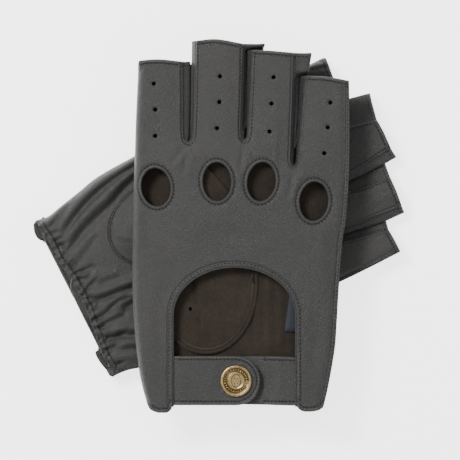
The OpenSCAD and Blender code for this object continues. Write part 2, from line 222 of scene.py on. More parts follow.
# How far the second strip stands out past the first finger's tip.
STRIP_TIP = {"right": [1.9, None, None], "left": [13.3, 6.8, 3.6]}
# How far a strip reaches at the tip where it goes under the next finger.
STRIP_UNDER = {"right": [None, (10.6, 2.8), (8.6, 2.4)]}
KNUCKLES = [(-37.4, 106.2, 6.8, 9.0, 8), (-8.7, 108.8, 6.6, 9.1, 2), (12.2, 108.8, 6.6, 9.2, -8),
            (36.9, 99.6, 6.7, 9.2, -5)]
AIR_HOLES = {
    "right": [[(-38.5, 155), (-37.8, 142.8), (-37.8, 130.4)], [(-7.3, 158.4), (-7.6, 146.3), (-8.7, 134)],
              [(17.9, 158), (16.9, 145.6), (16, 132.5)], [(44.6, 146), (43.4, 134.3), (41.8, 122.2)]],
    "left": [[(-38.5, 155), (-37.8, 142.8), (-37.8, 130.4)], [(-3.4, 158.4), (-5.6, 146.3), (-8.2, 134)],
             [(24.4, 155), (22.6, 143.6), (19.5, 132.5)], [(45.6, 146), (43.8, 134.3), (41.8, 122.2)]],
}
THUMB_HOLE = {"right": (-14, 61, 23, 32), "left": (-12, 58.4, 19.4, 25.8)}
PALM_CUFF = {"right": [(-41.8, 4), (0, 4.6), (41.6, 4)],
             "left": [(-39.7, 4.9), (-34.8, 4.7), (-28, 5.6), (-22.6, 5.6), (-17.5, 5.5), (-7, 7.3), (3.5, 7.2),
                      (10, 6.9), (16.1, 6.1), (26, 4.9), (33, 4), (38.9, 4.7), (42.8, 5.2)]}


def oval(cu, cv, half_u, half_v, tilt, count, grow=0.0):
    a = np.linspace(0, 2 * math.pi, count, endpoint=False)
    x, y = (half_u + grow) * np.cos(a), (half_v + grow) * np.sin(a)
    c, s = math.cos(math.radians(tilt)), math.sin(math.radians(tilt))
    return np.stack([cu + x * c - y * s, cv + x * s + y * c], axis=1)


def opening_line(grow, foot=None):
    """The keyhole edge from the foot of the index-side lobe, over the arch, to the other foot."""
    o = OPENING
    foot = o["foot"] if foot is None else foot
    a = np.linspace(math.pi, 0, 61)
    arch = np.stack([o["centre"] + (o["half"] + grow) * np.cos(a),
                     o["spring"] + (o["rise"] + grow) * np.sin(a)], axis=1)
    left = o["centre"] - o["half"] - grow
    right = o["centre"] + o["half"] + grow
    line = np.vstack([[left, foot], arch, [right, foot]])
    return spaced(line, STEP)


class Outline:
    """All the lines of one glove, cut once and shared by its pieces."""

    def __init__(self, side):
        self.side = side
        self.index = smooth_line(INDEX_SIDE[side], STEP)
        self.little = smooth_line(LITTLE_SIDE[side], STEP)
        self.gaps = [smooth_line(g, STEP) for g in GAPS[side]]
        tips = [list(t) for t in TIPS[side]]
        tips[0][0], tips[3][-1] = tuple(self.index[-1]), tuple(self.little[-1])
        self.tips = [smooth_line(t, STEP) for t in tips]
        fingers = []
        for k in range(4):
            fingers.append(self.tips[k][:-1])
            if k < 3:
                fingers.append(self.gaps[k][:-1])
        self.fingers = np.vstack(fingers)
        self.opening = opening_line(0.7)
        left_lobe = smooth_line([tuple(self.opening[0])] + INDEX_LOBE[side][1:], STEP)
        right_lobe = smooth_line(LITTLE_LOBE[side][:-1] + [tuple(self.opening[-1])], STEP)
        self.lobes = [left_lobe, right_lobe]
        self.back = np.vstack([self.index[:-1], self.fingers, self.little[::-1], right_lobe[:-1],
                               self.opening[::-1][:-1], left_lobe[:-1]])
        self.palm_cuff = smooth_line(PALM_CUFF[side], STEP)
        self.palm = np.vstack([self.index[:-1], self.fingers, self.little[::-1], self.palm_cuff[::-1][:-1]])
        self.thumb = oval(*THUMB_HOLE[side], 0, 96)


OUTLINES = {"right": Outline("right"), "left": Outline("left")}


# ---------------------------------------------------------------------------------------------
# Leather surfaces: height of the outside of each sheet above the glove's underside
# ---------------------------------------------------------------------------------------------
MIDDLE = 5.4
OUTSEAM_LEVEL = 8.4
FLANGE_HALF = 0.85
FINGER_LEVELS = {"right": [9.9, 10.2, 10.5, 10.8], "left": [9.6, 10.2, 10.4, 10.0]}
FLANGE = 1.9


def oval_distance(points, k, grow=0.0):
    """Roughly the distance outside a knuckle hole's edge."""
    cu, cv, a, b, tilt = k
    c, s = math.cos(math.radians(tilt)), math.sin(math.radians(tilt))
    x, y = points[:, 0] - cu, points[:, 1] - cv
    p, q = x * c + y * s, -x * s + y * c
    r = np.hypot(p / (a + grow), q / (b + grow))
    return (r - 1) * np.where(r > 1e-6, np.hypot(p, q) / np.maximum(r, 1e-6), a)


def sides(side, points):
    """Raised flat of a sheet: 0 at the two side edges and 1 inside them."""
    o = OUTLINES[side]
    index = rolled(distance(points, o.index), 3.4)
    d = distance(points, o.little)
    little = np.where(d < FLANGE, 0, rolled(d - FLANGE, 2.6))
    return index, little, d


def finger_share(points):
    """How far a point is up its finger, past the crotches."""
    crotch = np.where(points[:, 0] > 20, 116, 128)
    return smoothstep(-14, 8, points[:, 1] - crotch)


def upper_height(side, points):
    """Outside of the sheet that faces up."""
    o = OUTLINES[side]
    u, v = points[:, 0], points[:, 1]
    crown = (10.9 if side == "right" else 11.2) - 0.0003 * u ** 2
    levels = np.interp(u, [-46, -24, -20, 3, 8, 26, 31, 53], np.repeat(FINGER_LEVELS[side], 2))
    share = finger_share(points)
    h = crown * (1 - share) + levels * share
    gaps = np.min([distance(points, g) for g in o.gaps], axis=0)
    h -= 0.9 * (1 - rolled(gaps, 1.5)) + 0.35 * (1 - smoothstep(0, 9, gaps)) * share
    tips = np.min([distance(points, t) for t in o.tips], axis=0)
    h += 0.22 * (1 - smoothstep(1.6, 2.2, tips)) - 0.5 * (1 - rolled(tips, 0.8))
    h += 0.28 * waves(points, 26, 1.7) + 0.10 * waves(points, 9, 5.1)
    if side == "right":
        lobes = np.min([distance(points, l) for l in o.lobes], axis=0)
        h += 0.2 * (1 - smoothstep(1.7, 2.3, lobes)) - 0.6 * (1 - rolled(lobes, 0.9))
        for k in KNUCKLES:
            d = oval_distance(points, k)
            h -= 0.25 * np.exp(-((d - 2.1) / 0.7) ** 2)
        for row in AIR_HOLES[side]:
            for hole in row:
                d = np.hypot(u - hole[0], v - hole[1])
                h -= 0.30 * np.exp(-(d / 1.5) ** 2)
        for line, depth, width in RIGHT_CREASES:
            h += crease(points, line, depth, width)
    else:
        for line, depth, width in LEFT_CREASES:
            h += crease(points, line, depth, width)
        h += gathers(points)
        for pu, pv, depth, width in LEFT_POCKETS:
            h -= depth * np.exp(-(((u - pu) / width[0]) ** 2 + ((v - pv) / width[1]) ** 2))
        hole = oval_distance(points, THUMB_HOLE[side] + (0,))
        h += 0.25 * np.exp(-((hole - 1.0) / 0.6) ** 2) - 0.9 * (1 - rolled(hole, 0.7))
    index, little, d = sides(side, points)
    h = MIDDLE + (h - MIDDLE) * index
    edge = OUTSEAM_LEVEL + FLANGE_HALF
    return np.where(d < FLANGE + 2.6, edge + (h - edge) * little, h)


def lower_height(side, points):
    """Outside of the sheet that faces down."""
    o = OUTLINES[side]
    u, v = points[:, 0], points[:, 1]
    share = finger_share(points)
    if side == "right":
        inside = np.minimum(distance(points, o.index), distance(points, o.little))
        inside = np.minimum(inside, np.abs(v - 4) + 6)
        raised = 3.5 * smoothstep(5, 22, inside)
        h = 0.7 + raised * (1 - share) + 3.1 * share
        h += 0.35 * np.sin((u - 9) * 1.15) * smoothstep(4, 9, u) * (1 - smoothstep(22, 27, u)) * (
            smoothstep(26, 34, v) * (1 - smoothstep(64, 80, v)))
    else:
        h = 0.5 + 2.6 * share
        for k in KNUCKLES:
            h += 0.25 * np.exp(-((oval_distance(points, k) - 2.1) / 0.7) ** 2)
    h += 0.2 * waves(points, 24, 9.3)
    h = np.maximum(h, 0.25)
    index, little, d = sides(side, points)
    h = MIDDLE + (h - MIDDLE) * index
    edge = OUTSEAM_LEVEL - FLANGE_HALF
    return np.where(d < FLANGE + 2.6, edge + (h - edge) * little, h)


def crease(points, line, depth, width):
    """A fold: a valley along the line with a soft ridge on its left."""
    d, sign, along = reach(points, line)
    ends = smoothstep(0, 0.18, along) * (1 - smoothstep(0.82, 1, along))
    s = d * sign
    valley = -np.exp(-(s / width) ** 2)
    ridge = 0.8 * np.exp(-((s - 2.1 * width) / (1.4 * width)) ** 2)
    return ends * depth * (valley + ridge)


GATHER_LINE = [(-45, 7), (-34, 7), (-28.9, 8), (-21.7, 9.7), (-15.8, 8.8), (-9.9, 10), (-2.8, 10.6), (3.5, 9.5),
               (11.1, 8.8), (19.7, 8.1), (27.1, 7), (33.3, 5.9), (38.8, 6.3), (45, 6.3)]


def gathers(points):
    """Small pleats that the wrist elastic pulls into the palm above its hem."""
    u, v = points[:, 0], points[:, 1]
    line = np.array(GATHER_LINE)
    row = np.interp(u, line[:, 0], line[:, 1])
    above = v - row
    dice = random.Random(11)
    h = np.zeros(len(points))
    near = v < 30
    place = -31.0
    while place < 41:
        length = dice.uniform(3.0, 7.5) if dice.random() < 0.65 else dice.uniform(8, 13)
        lean = dice.uniform(-0.5, 0.25) if place < 0 else dice.uniform(-0.45, 0.35)
        depth = dice.uniform(0.8, 1.9)
        width = dice.uniform(0.5, 0.95)
        at = place + lean * above + 0.25 * np.sin(above * 0.9 + place)
        reach_up = smoothstep(-1.8, 0.2, above) * (1 - smoothstep(0.3 * length, length, above))
        swell = 1 + 0.10 * np.clip(above, 0, 12)
        h[near] -= (depth * reach_up * np.exp(-((u - at) / (width * swell)) ** 2))[near]
        h[near] += (0.42 * depth * reach_up * np.exp(-((u - at - 1.75) / (1.0 * swell)) ** 2))[near]
        place += dice.uniform(2.4, 5.0)
    ruffle = (0.5 * np.sin(u * 1.15 + 1.3 * np.sin(u * 0.37)) + 0.3 * np.sin(u * 2.3 + 2 * np.sin(u * 0.21)))
    ruffle *= 1 - smoothstep(-1.5, 0.6, above)
    pinch = -0.55 * (1 + 0.7 * np.sin(u * 0.9)) * np.exp(-(above / 1.0) ** 2)
    return h + ruffle + pinch


def line_of(points):
    return smooth_line(points, 1.5)


LEFT_CREASES = [
    (line_of([(-24.8, 10.5), (-30.9, 19), (-36, 30.2), (-38.6, 39.2), (-40.4, 49.8), (-42.3, 66)]), 1.5, 1.5),
    (line_of([(-18.7, 11), (-24.4, 22), (-28, 32.2), (-30.4, 41.1), (-34.2, 50.1), (-38, 64)]), 1.8, 2.1),
    (line_of([(-33, 8), (-36.5, 16), (-40, 24)]), 0.7, 1.2),
    (line_of([(-12, 13), (-17, 22), (-20, 29)]), 0.45, 1.6),
    (line_of([(6.1, 9.5), (8, 17.2), (8.9, 24.8), (10.4, 38)]), 1.7, 1.5),
    (line_of([(1.5, 12), (1.2, 19), (3, 30)]), 0.5, 1.6),
    (line_of([(15.9, 8), (15.2, 14), (12.5, 22), (13, 30)]), 0.9, 1.2),
    (line_of([(20.1, 6.8), (19.2, 14), (19.9, 24)]), 0.9, 1.1),
    (line_of([(25.8, 6.6), (26.7, 12.5), (31.5, 26)]), 1.3, 1.5),
    (line_of([(32.3, 6), (33.2, 12.4), (38, 24)]), 0.8, 1.3),
    (line_of([(38, 6), (39.5, 13), (43, 22)]), 0.5, 1.0),
    (line_of([(-46.5, 150), (-44, 155), (-41.6, 163)]), 0.8, 0.8),
]
LEFT_POCKETS = [(16.7, 27, 2.6, (2.2, 5.0)), (26.9, 16.5, 1.8, (1.3, 4.0)), (-23.2, 10.0, 1.3, (2.2, 1.6)),
                (-13.8, 10.8, 0.9, (1.4, 2.0))]
RIGHT_CREASES = [
    (line_of([(46.5, 52), (45.8, 70), (47, 90)]), 0.30, 2.6),
    (line_of([(-42, 74), (-41, 88), (-43.4, 96)]), 0.22, 3.0),
    (line_of([(-23.6, 126), (-27, 121), (-31.5, 117)]), 0.34, 1.1),
    (line_of([(-22.4, 125.5), (-23.5, 119), (-25, 111)]), 0.30, 1.3),
    (line_of([(-20.6, 125.5), (-18.5, 121), (-15, 118)]), 0.28, 1.0),
    (line_of([(4.2, 126.5), (3, 121), (1.8, 112)]), 0.26, 1.2),
    (line_of([(5.2, 126.5), (7.5, 122), (9, 119)]), 0.2, 1.0),
    (line_of([(27.2, 114), (26.2, 108), (24.5, 100)]), 0.28, 1.2),
    (line_of([(28.6, 114), (30.5, 110.5), (33, 108)]), 0.22, 1.0),
    (line_of([(-33, 20), (-36, 34), (-35, 52), (-30, 66)]), 0.18, 2.6),
    (line_of([(36, 16), (38, 34), (37, 50)]), 0.18, 2.6),
    (line_of([(-20, 80), (-4, 84), (14, 82)]), 0.14, 3.4),
]


# ---------------------------------------------------------------------------------------------
# Making pieces
# ---------------------------------------------------------------------------------------------
def finish_piece(bm, name, side, body, materials, replaced=(), wall=None, inner=0, rim=None,
                 upside=False, bend=None):
    """Places a piece made in the hand frame and names it; it hangs it on its body unless a bend is given, in
    which case its place is only baked into its mesh.
    """
    if upside:
        for v in bm.verts:
            v.co.z = GLOVE_THICKNESS - v.co.z
        bmesh.ops.reverse_faces(bm, faces=bm.faces[:])
    bmesh.ops.transform(bm, matrix=Matrix.Scale(MM, 4) @ PLACES[side], verts=bm.verts[:])
    mesh = bpy.data.meshes.new(name)
    bm.to_mesh(mesh)
    bm.free()
    obj = bpy.data.objects.new(name, mesh)
    bpy.context.scene.collection.objects.link(obj)
    for m in materials:
        mesh.materials.append(m)
    for p in mesh.polygons:
        p.use_smooth = True
    if wall:
        thick = obj.modifiers.new("wall", "SOLIDIFY")
        thick.thickness = wall * MM
        thick.offset = -1
        thick.material_offset = inner
        thick.material_offset_rim = inner if rim is None else rim
    if bend:
        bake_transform(obj)
    else:
        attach(obj, body)
    if replaced:
        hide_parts(*replaced)
    return obj


def within(points, ring):
    """Which points lie inside a closed outline."""
    a, b = np.array(ring), np.roll(ring, -1, axis=0)
    b[:, 1] += np.where(b[:, 1] == a[:, 1], 1e-9, 0)
    x, y = points[:, :1], points[:, 1:]
    crosses = (a[:, 1] > y) != (b[:, 1] > y)
    at = (b[:, 0] - a[:, 0]) * (y - a[:, 1]) / (b[:, 1] - a[:, 1]) + a[:, 0]
    return (crosses & (x < at)).sum(axis=1) % 2 == 1


SLIVER_AREA = 1e-3
ON_LINE = 1e-3


def filled(loops):
    """Triangles between an outline and its holes, checked to lie on the leather."""
    bm = bmesh.new()
    for loop in loops:
        ring = [bm.verts.new((p[0], p[1], 0)) for p in loop]
        for pair in zip(ring, ring[1:] + ring[:1]):
            bm.edges.new(pair)
    bmesh.ops.triangle_fill(bm, use_beauty=True, use_dissolve=False, edges=bm.edges[:])
    centres = np.array([f.calc_center_median()[:2] for f in bm.faces if f.calc_area() > SLIVER_AREA])
    good = within(centres, loops[0])
    for hole in loops[1:]:
        good &= ~within(centres, hole)
    if not good.all():
        raise ValueError("two outlines of one sheet cross")
    return bm


def cut_sheet(loops, coarse=2.6):
    """A flat sheet cut to its outline and holes, with an even net of small faces."""
    bm = filled(loops)
    every = np.vstack(loops)
    low, high = every.min(axis=0), every.max(axis=0)
    net = [np.arange(low[axis] + coarse / 2, high[axis], coarse) for axis in (0, 1)]
    for axis in (0, 1):
        plane = [0, 0, 0]
        plane[axis] = 1
        for at in net[axis]:
            where = [0, 0, 0]
            where[axis] = at
            near = [f for f in bm.faces
                    if min(v.co[axis] for v in f.verts) < at < max(v.co[axis] for v in f.verts)]
            if near:
                edges = {e for f in near for e in f.edges}
                verts = {v for f in near for v in f.verts}
                bmesh.ops.bisect_plane(bm, geom=list(verts) + list(edges) + near, dist=1e-4,
                                       plane_co=where, plane_no=plane)

    def on_net(e):
        for axis in (0, 1):
            a, b = (v.co[axis] for v in e.verts)
            if abs(a - b) < ON_LINE and np.min(np.abs(net[axis] - a), initial=9) < ON_LINE:
                return True
        return False

    spare = [e for e in bm.edges if len(e.link_faces) == 2 and not on_net(e)]
    bmesh.ops.dissolve_edges(bm, edges=spare, use_verts=False)
    bmesh.ops.dissolve_verts(bm, verts=[v for v in bm.verts if len(v.link_edges) == 2 and not v.is_boundary])
    bmesh.ops.triangulate(bm, faces=bm.faces[:])
    bmesh.ops.subdivide_edges(bm, edges=bm.edges[:], cuts=1, use_grid_fill=True)
    inner = [v for v in bm.verts if not v.is_boundary]
    for _ in range(4):
        bmesh.ops.smooth_vert(bm, verts=inner, factor=0.5, use_axis_x=True, use_axis_y=True)
    bmesh.ops.recalc_face_normals(bm, faces=bm.faces[:])
    face(bm)
    return bm


def face(bm, up=True):
    """Turns a sheet so that most of it faces up, or down."""
    if (sum(f.normal.z for f in bm.faces) < 0) == up:
        bmesh.ops.reverse_faces(bm, faces=bm.faces[:])


def plan(bm):
    """Where a piece's vertices lie, seen from above."""
    return np.array([v.co[:2] for v in bm.verts])


def raise_sheet(bm, heights):
    for v, z in zip(bm.verts, heights):
        v.co.z = z


def mark(bm, values, label="seam"):
    layer = bm.verts.layers.float.get(label) or bm.verts.layers.float.new(label)
    for v, x in zip(bm.verts, values):
        v[layer] = x


def joined(*parts):
    """One bmesh from several, with the edges they share merged."""
    whole = bmesh.new()
    for bm in parts:
        pour(bm, whole)
    bmesh.ops.remove_doubles(whole, verts=whole.verts[:], dist=0.02)
    return whole


def loft(rows, closed=False, cap=False):
    """A skin through rows of points, made by extruding the first row's edges."""
    bm = bmesh.new()
    ring = [bm.verts.new(p) for p in rows[0]]
    pairs = list(zip(ring, ring[1:])) + ([(ring[-1], ring[0])] if closed else [])
    edges = [bm.edges.new(p) for p in pairs]
    if cap:
        bm.faces.new(ring)
    for row in rows[1:]:
        made = bmesh.ops.extrude_edge_only(bm, edges=edges)["geom"]
        fresh = {g for g in made if isinstance(g, bmesh.types.BMVert)}
        after = [next(e.other_vert(v) for e in v.link_edges if e.other_vert(v) in fresh) for v in ring]
        for v, p in zip(after, row):
            v.co = p
        pairs = list(zip(after, after[1:])) + ([(after[-1], after[0])] if closed else [])
        edges = [bm.edges.get(p) for p in pairs]
        ring = after
    if cap:
        bm.faces.new(ring)
    bmesh.ops.recalc_face_normals(bm, faces=bm.faces[:])
    return bm


def normals_2d(line, closed=False):
    """Unit normals to the left of a flat line."""
    line = np.array(line)
    if closed:
        t = np.roll(line, -1, axis=0) - np.roll(line, 1, axis=0)
    else:
        t = np.gradient(line, axis=0)
    t /= np.linalg.norm(t, axis=1)[:, None]
    return np.stack([-t[:, 1], t[:, 0]], axis=1)


def offset_away(gap, width):
    """A line inside the leather, beside the edge of a finger gap."""
    n = normals_2d(gap)
    mid = len(gap) // 2
    if n[mid][1] > 0:
        n = -n
    return spaced(gap + n * width, 0.8)


def offset_inward(lobe, width):
    """A line inside the leather, beside the edge of a cuff lobe."""
    n = normals_2d(lobe)
    mid = len(lobe) // 2
    if n[mid][1] < 0:
        n = -n
    return spaced(lobe + n * width, 0.6)


def sew(bm, line, heights, pitch=1.75, length=1.2, width=0.5, lift=0.02, skip_ends=0.8):
    """A row of stitches along a line, each one a small rounded thread."""
    pts = np.column_stack([line, heights])
    run = np.concatenate([[0], np.cumsum(np.linalg.norm(np.diff(pts, axis=0), axis=1))])
    count = int((run[-1] - 2 * skip_ends) / pitch)
    batch = bmesh.new()
    for i in range(count + 1):
        at = skip_ends + i * pitch
        here = Vector([np.interp(at, run, pts[:, k]) for k in range(3)])
        ahead = Vector([np.interp(min(at + 0.5, run[-1]), run, pts[:, k]) for k in range(3)])
        behind = Vector([np.interp(max(at - 0.5, 0), run, pts[:, k]) for k in range(3)])
        along = ahead - behind
        if along.length < 1e-6:
            continue
        turn = along.to_track_quat("X", "Z").to_matrix().to_4x4()
        shape = Matrix.Diagonal((length, width, width * 0.8, 1))
        bmesh.ops.create_uvsphere(batch, u_segments=6, v_segments=4, radius=0.5,
                                  matrix=Matrix.Translation(here + Vector((0, 0, lift))) @ turn @ shape)
        if i % 25 == 24 or i == count:
            pour(batch, bm)
            batch = bmesh.new()
    batch.free()


def pour(part, whole):
    """Adds one bmesh to another."""
    mesh = bpy.data.meshes.new("part")
    part.to_mesh(mesh)
    part.free()
    whole.from_mesh(mesh)
    bpy.data.meshes.remove(mesh)


# ---------------------------------------------------------------------------------------------
# Materials
# ---------------------------------------------------------------------------------------------
class Finish:
    """A node material with small helpers for building it."""

    def __init__(self, name):
        self.material = bpy.data.materials.new(name)
        self.material.use_nodes = True
        self.nodes = self.material.node_tree.nodes
        self.links = self.material.node_tree.links
        self.shader = self.nodes["Principled BSDF"]
        self.place = self.add("ShaderNodeTexCoord").outputs["Object"]

    def add(self, kind, **values):
        node = self.nodes.new(kind)
        for key, value in values.items():
            setattr(node, key, value)
        return node

    def link(self, out, into):
        self.links.new(out, into)

    def noise(self, scale, detail=3.0, rough=0.55, stretch=None):
        n = self.add("ShaderNodeTexNoise")
        n.inputs["Scale"].default_value = scale
        n.inputs["Detail"].default_value = detail
        n.inputs["Roughness"].default_value = rough
        self.link(self.stretched(stretch), n.inputs["Vector"])
        return n.outputs["Fac"]

    def stretched(self, stretch, turn=0.0):
        if not stretch:
            return self.place
        m = self.add("ShaderNodeMapping")
        m.inputs["Scale"].default_value = stretch
        m.inputs["Rotation"].default_value = (0, 0, turn)
        self.link(self.place, m.inputs["Vector"])
        return m.outputs["Vector"]

    def cells(self, scale):
        n = self.add("ShaderNodeTexVoronoi", feature="DISTANCE_TO_EDGE")
        n.inputs["Scale"].default_value = scale
        self.link(self.place, n.inputs["Vector"])
        return n.outputs["Distance"]

    def math(self, kind, a, b=0.0, clamp=False):
        n = self.add("ShaderNodeMath", operation=kind, use_clamp=clamp)
        for i, x in enumerate((a, b)):
            if isinstance(x, (int, float)):
                n.inputs[i].default_value = x
            else:
                self.link(x, n.inputs[i])
        return n.outputs[0]

    def ramp(self, value, stops):
        n = self.add("ShaderNodeValToRGB")
        ramp = n.color_ramp
        while len(ramp.elements) < len(stops):
            ramp.elements.new(0.5)
        for e, (at, colour) in zip(ramp.elements, stops):
            e.position = at
            e.color = (*colour, 1) if len(colour) == 3 else colour
        self.link(value, n.inputs["Fac"])
        return n.outputs["Color"]

    def mix(self, share, a, b):
        n = self.add("ShaderNodeMix", data_type="RGBA")
        sockets = [s for s in n.inputs if s.type == "RGBA"]
        for s, x in zip(sockets, (a, b)):
            if isinstance(x, tuple):
                s.default_value = (*x, 1)
            else:
                self.link(x, s)
        fac = n.inputs["Factor"]
        if isinstance(share, (int, float)):
            fac.default_value = share
        else:
            self.link(share, fac)
        return [s for s in n.outputs if s.type == "RGBA"][0]

    def bump(self, height, strength, distance, after=None):
        n = self.add("ShaderNodeBump")
        n.inputs["Strength"].default_value = strength
        n.inputs["Distance"].default_value = distance
        self.link(height, n.inputs["Height"])
        if after is not None:
            self.link(after, n.inputs["Normal"])
        return n.outputs["Normal"]

    def attribute(self, name):
        n = self.add("ShaderNodeAttribute", attribute_name=name)
        return n.outputs["Fac"]

    def set(self, **values):
        for key, value in values.items():
            self.shader.inputs[key.replace("_", " ")].default_value = value

    def colour(self, out):
        self.link(out, self.shader.inputs["Base Color"])

    def roughness(self, out):
        self.link(out, self.shader.inputs["Roughness"])

    def normal(self, out):
        self.link(out, self.shader.inputs["Normal"])


CHARCOAL = (0.0415, 0.0408, 0.0398)


def tinted(shade):
    return tuple(c * shade for c in CHARCOAL)


def grain_leather(name, seams):
    """Smooth charcoal glove leather with a fine grain; seams adds stitch grooves from the attribute, with
    painted shade in each groove and a painted highlight on the rim beside it.
    """
    f = Finish(name)
    broad = f.noise(45, 5, 0.6)
    fine = f.noise(620, 4, 0.7)
    pebble = f.math("MULTIPLY", f.cells(1250), 2.6, clamp=True)
    tone = f.mix(f.ramp(broad, [(0.32, (0, 0, 0)), (0.68, (1, 1, 1))]), tinted(0.84),
                 (CHARCOAL[0] * 1.17, CHARCOAL[1] * 1.14, CHARCOAL[2] * 1.08))
    tone = f.mix(f.ramp(fine, [(0.34, (0.42, 0.42, 0.42)), (0.62, (0, 0, 0))]), tone, tinted(0.6))
    tone = f.mix(f.math("SUBTRACT", 1.0, pebble), tone, tinted(0.55))
    surface = f.bump(pebble, 0.55, 0.00025)
    surface = f.bump(fine, 0.4, 0.0006, surface)
    if seams:
        s = f.attribute("seam")
        near = f.math("DIVIDE", s, 0.40)
        groove = f.math("EXPONENT", f.math("MULTIPLY", f.math("MULTIPLY", near, near), -1.0))
        rim_at = f.math("DIVIDE", f.math("ADD", s, 1.0), 0.42)
        rim = f.math("EXPONENT", f.math("MULTIPLY", f.math("MULTIPLY", rim_at, rim_at), -1.0))
        # painted highlight: the leather just outside each stitch row is lightened, as if light caught a raised
        # rim; the same rim mask also lifts it by bump below.
        tone = f.mix(f.math("MULTIPLY", rim, 0.30), tone, tinted(1.9))
        # painted shade: the stitch groove is darkened as if shadowed; the same groove mask also sinks it by
        # bump below.
        tone = f.mix(f.math("MULTIPLY", groove, 0.28), tone, tinted(0.4))
        shape = f.math("SUBTRACT", f.math("MULTIPLY", rim, 0.3), groove)
        surface = f.bump(shape, 0.6, 0.0005, surface)
    f.colour(tone)
    f.roughness(f.math("ADD", f.math("MULTIPLY", fine, 0.2), 0.40))
    f.normal(surface)
    f.set(Specular_IOR_Level=0.32, Sheen_Weight=0.04, Sheen_Roughness=0.5)
    return f.material


def cut_edge():
    """The pale raw edge of cut leather."""
    f = Finish("cut_edge")
    fibre = f.noise(1500, 4, 0.7)
    f.colour(f.ramp(fibre, [(0.3, (0.045, 0.042, 0.038)), (0.7, (0.105, 0.100, 0.092))]))
    f.set(Roughness=0.9, Specular_IOR_Level=0.15)
    f.normal(f.bump(fibre, 0.5, 0.0002))
    return f.material


def flesh_suede():
    """Brown flesh side of the leather, with a short nap."""
    f = Finish("flesh_suede")
    cloud = f.noise(75, 6, 0.7)
    nap = f.noise(1300, 3, 0.75, (1, 0.45, 1))
    tone = f.ramp(cloud, [(0.3, (0.019, 0.0150, 0.0105)), (0.7, (0.037, 0.0300, 0.0215))])
    tone = f.mix(f.ramp(nap, [(0.3, (0.6, 0.6, 0.6)), (0.7, (0, 0, 0))]), tone, (0.012, 0.0095, 0.007))
    f.colour(tone)
    f.set(Roughness=0.95, Specular_IOR_Level=0.08, Sheen_Weight=0.10, Sheen_Roughness=0.6)
    f.normal(f.bump(f.noise(260, 5, 0.65), 0.45, 0.0009, f.bump(nap, 0.6, 0.0003)))
    return f.material


def black_thread():
    """Waxed black sewing thread, with a fine twist."""
    f = Finish("black_thread")
    wave = f.add("ShaderNodeTexWave", wave_type="BANDS", bands_direction="DIAGONAL")
    wave.inputs["Scale"].default_value = 900
    f.link(f.place, wave.inputs["Vector"])
    f.colour(f.ramp(wave.outputs["Fac"], [(0.2, (0.004, 0.004, 0.005)), (0.9, (0.014, 0.0135, 0.014))]))
    f.set(Roughness=0.75, Specular_IOR_Level=0.2, Sheen_Weight=0.05)
    f.normal(f.bump(wave.outputs["Fac"], 0.4, 0.0001))
    return f.material


def antique_brass(name, worked):
    """Antique brass: worn bright where worked metal stands up, and browned in its hollows."""
    f = Finish(name)
    stain = f.noise(650, 5, 0.65)
    if worked:
        relief = f.attribute("relief")
        tone = f.ramp(relief, [(0.05, (0.040, 0.024, 0.010)), (0.5, (0.21, 0.145, 0.062)),
                               (0.95, (0.46, 0.345, 0.165))])
    else:
        tone = f.ramp(stain, [(0.3, (0.26, 0.175, 0.07)), (0.7, (0.42, 0.30, 0.13))])
    f.colour(f.mix(f.ramp(stain, [(0.42, (0, 0, 0)), (0.66, (0.65, 0.65, 0.65))]), tone, (0.10, 0.062, 0.026)))
    f.set(Metallic=1.0)
    f.roughness(f.math("ADD", f.math("MULTIPLY", stain, 0.3), 0.24))
    f.normal(f.bump(f.noise(1700, 4, 0.6), 0.25, 0.0001))
    return f.material


def woven(name, dark, light, scale):
    """A plain weave for the size label and the elastic."""
    f = Finish(name)
    threads = []
    for axis in ("X", "Y"):
        w = f.add("ShaderNodeTexWave", wave_type="BANDS", bands_direction=axis)
        w.inputs["Scale"].default_value = scale
        f.link(f.place, w.inputs["Vector"])
        threads.append(w.outputs["Fac"])
    weave = f.math("MULTIPLY", threads[0], threads[1])
    f.colour(f.ramp(weave, [(0.1, dark), (0.7, light)]))
    f.set(Roughness=0.85, Specular_IOR_Level=0.15)
    f.normal(f.bump(weave, 0.4, 0.0002))
    return f.material


LEATHER = grain_leather("charcoal_leather", True)
PLAIN_LEATHER = grain_leather("charcoal_leather_plain", False)
CUT_EDGE = cut_edge()
SUEDE = flesh_suede()
THREAD = black_thread()
CAP_BRASS = antique_brass("cap_brass", True)
SNAP_BRASS = antique_brass("snap_brass", False)
LABEL = woven("label_weave", (0.026, 0.029, 0.036), (0.048, 0.053, 0.066), 700)
ELASTIC = woven("elastic_weave", (0.006, 0.006, 0.007), (0.022, 0.022, 0.024), 500)

# ---------------------------------------------------------------------------------------------
# Trank: back and palm in one, folded at the index side
# ---------------------------------------------------------------------------------------------
FINGER_STITCH = 1.0
TIP_STITCH = 1.9
LOBE_STITCH = 2.0
KNUCKLE_STITCH = 1.75
OPENING_STITCH = 2.25
CUFF_STITCH = {"right": 1.8, "left": 3.0}
LEATHER_WALL = 0.9
SEEN_NET = 1.6
HIDDEN_NET = 2.0


def seam_field(side, points, back):
    """Distance past the nearest row of stitches, negative towards the leather's edge."""
    o = OUTLINES[side]
    rows = [np.min([distance(points, g) for g in o.gaps], axis=0) - FINGER_STITCH,
            np.min([distance(points, t) for t in o.tips], axis=0) - TIP_STITCH,
            distance(points, o.little) - FLANGE]
    if back:
        rows.append(np.min([distance(points, l) for l in o.lobes], axis=0) - LOBE_STITCH)
        rows.append(distance(points, o.opening) - OPENING_STITCH)
        for k in KNUCKLES:
            rows.append(oval_distance(points, k) - KNUCKLE_STITCH)
    else:
        rows.append(oval_distance(points, THUMB_HOLE[side] + (0,)) - 1.2)
        rows.append(distance(points, o.palm_cuff) - CUFF_STITCH[side])
    rows = np.array(rows)
    nearest = np.argmin(np.abs(rows), axis=0)
    return np.clip(rows[nearest, np.arange(len(points))], -3, 3)


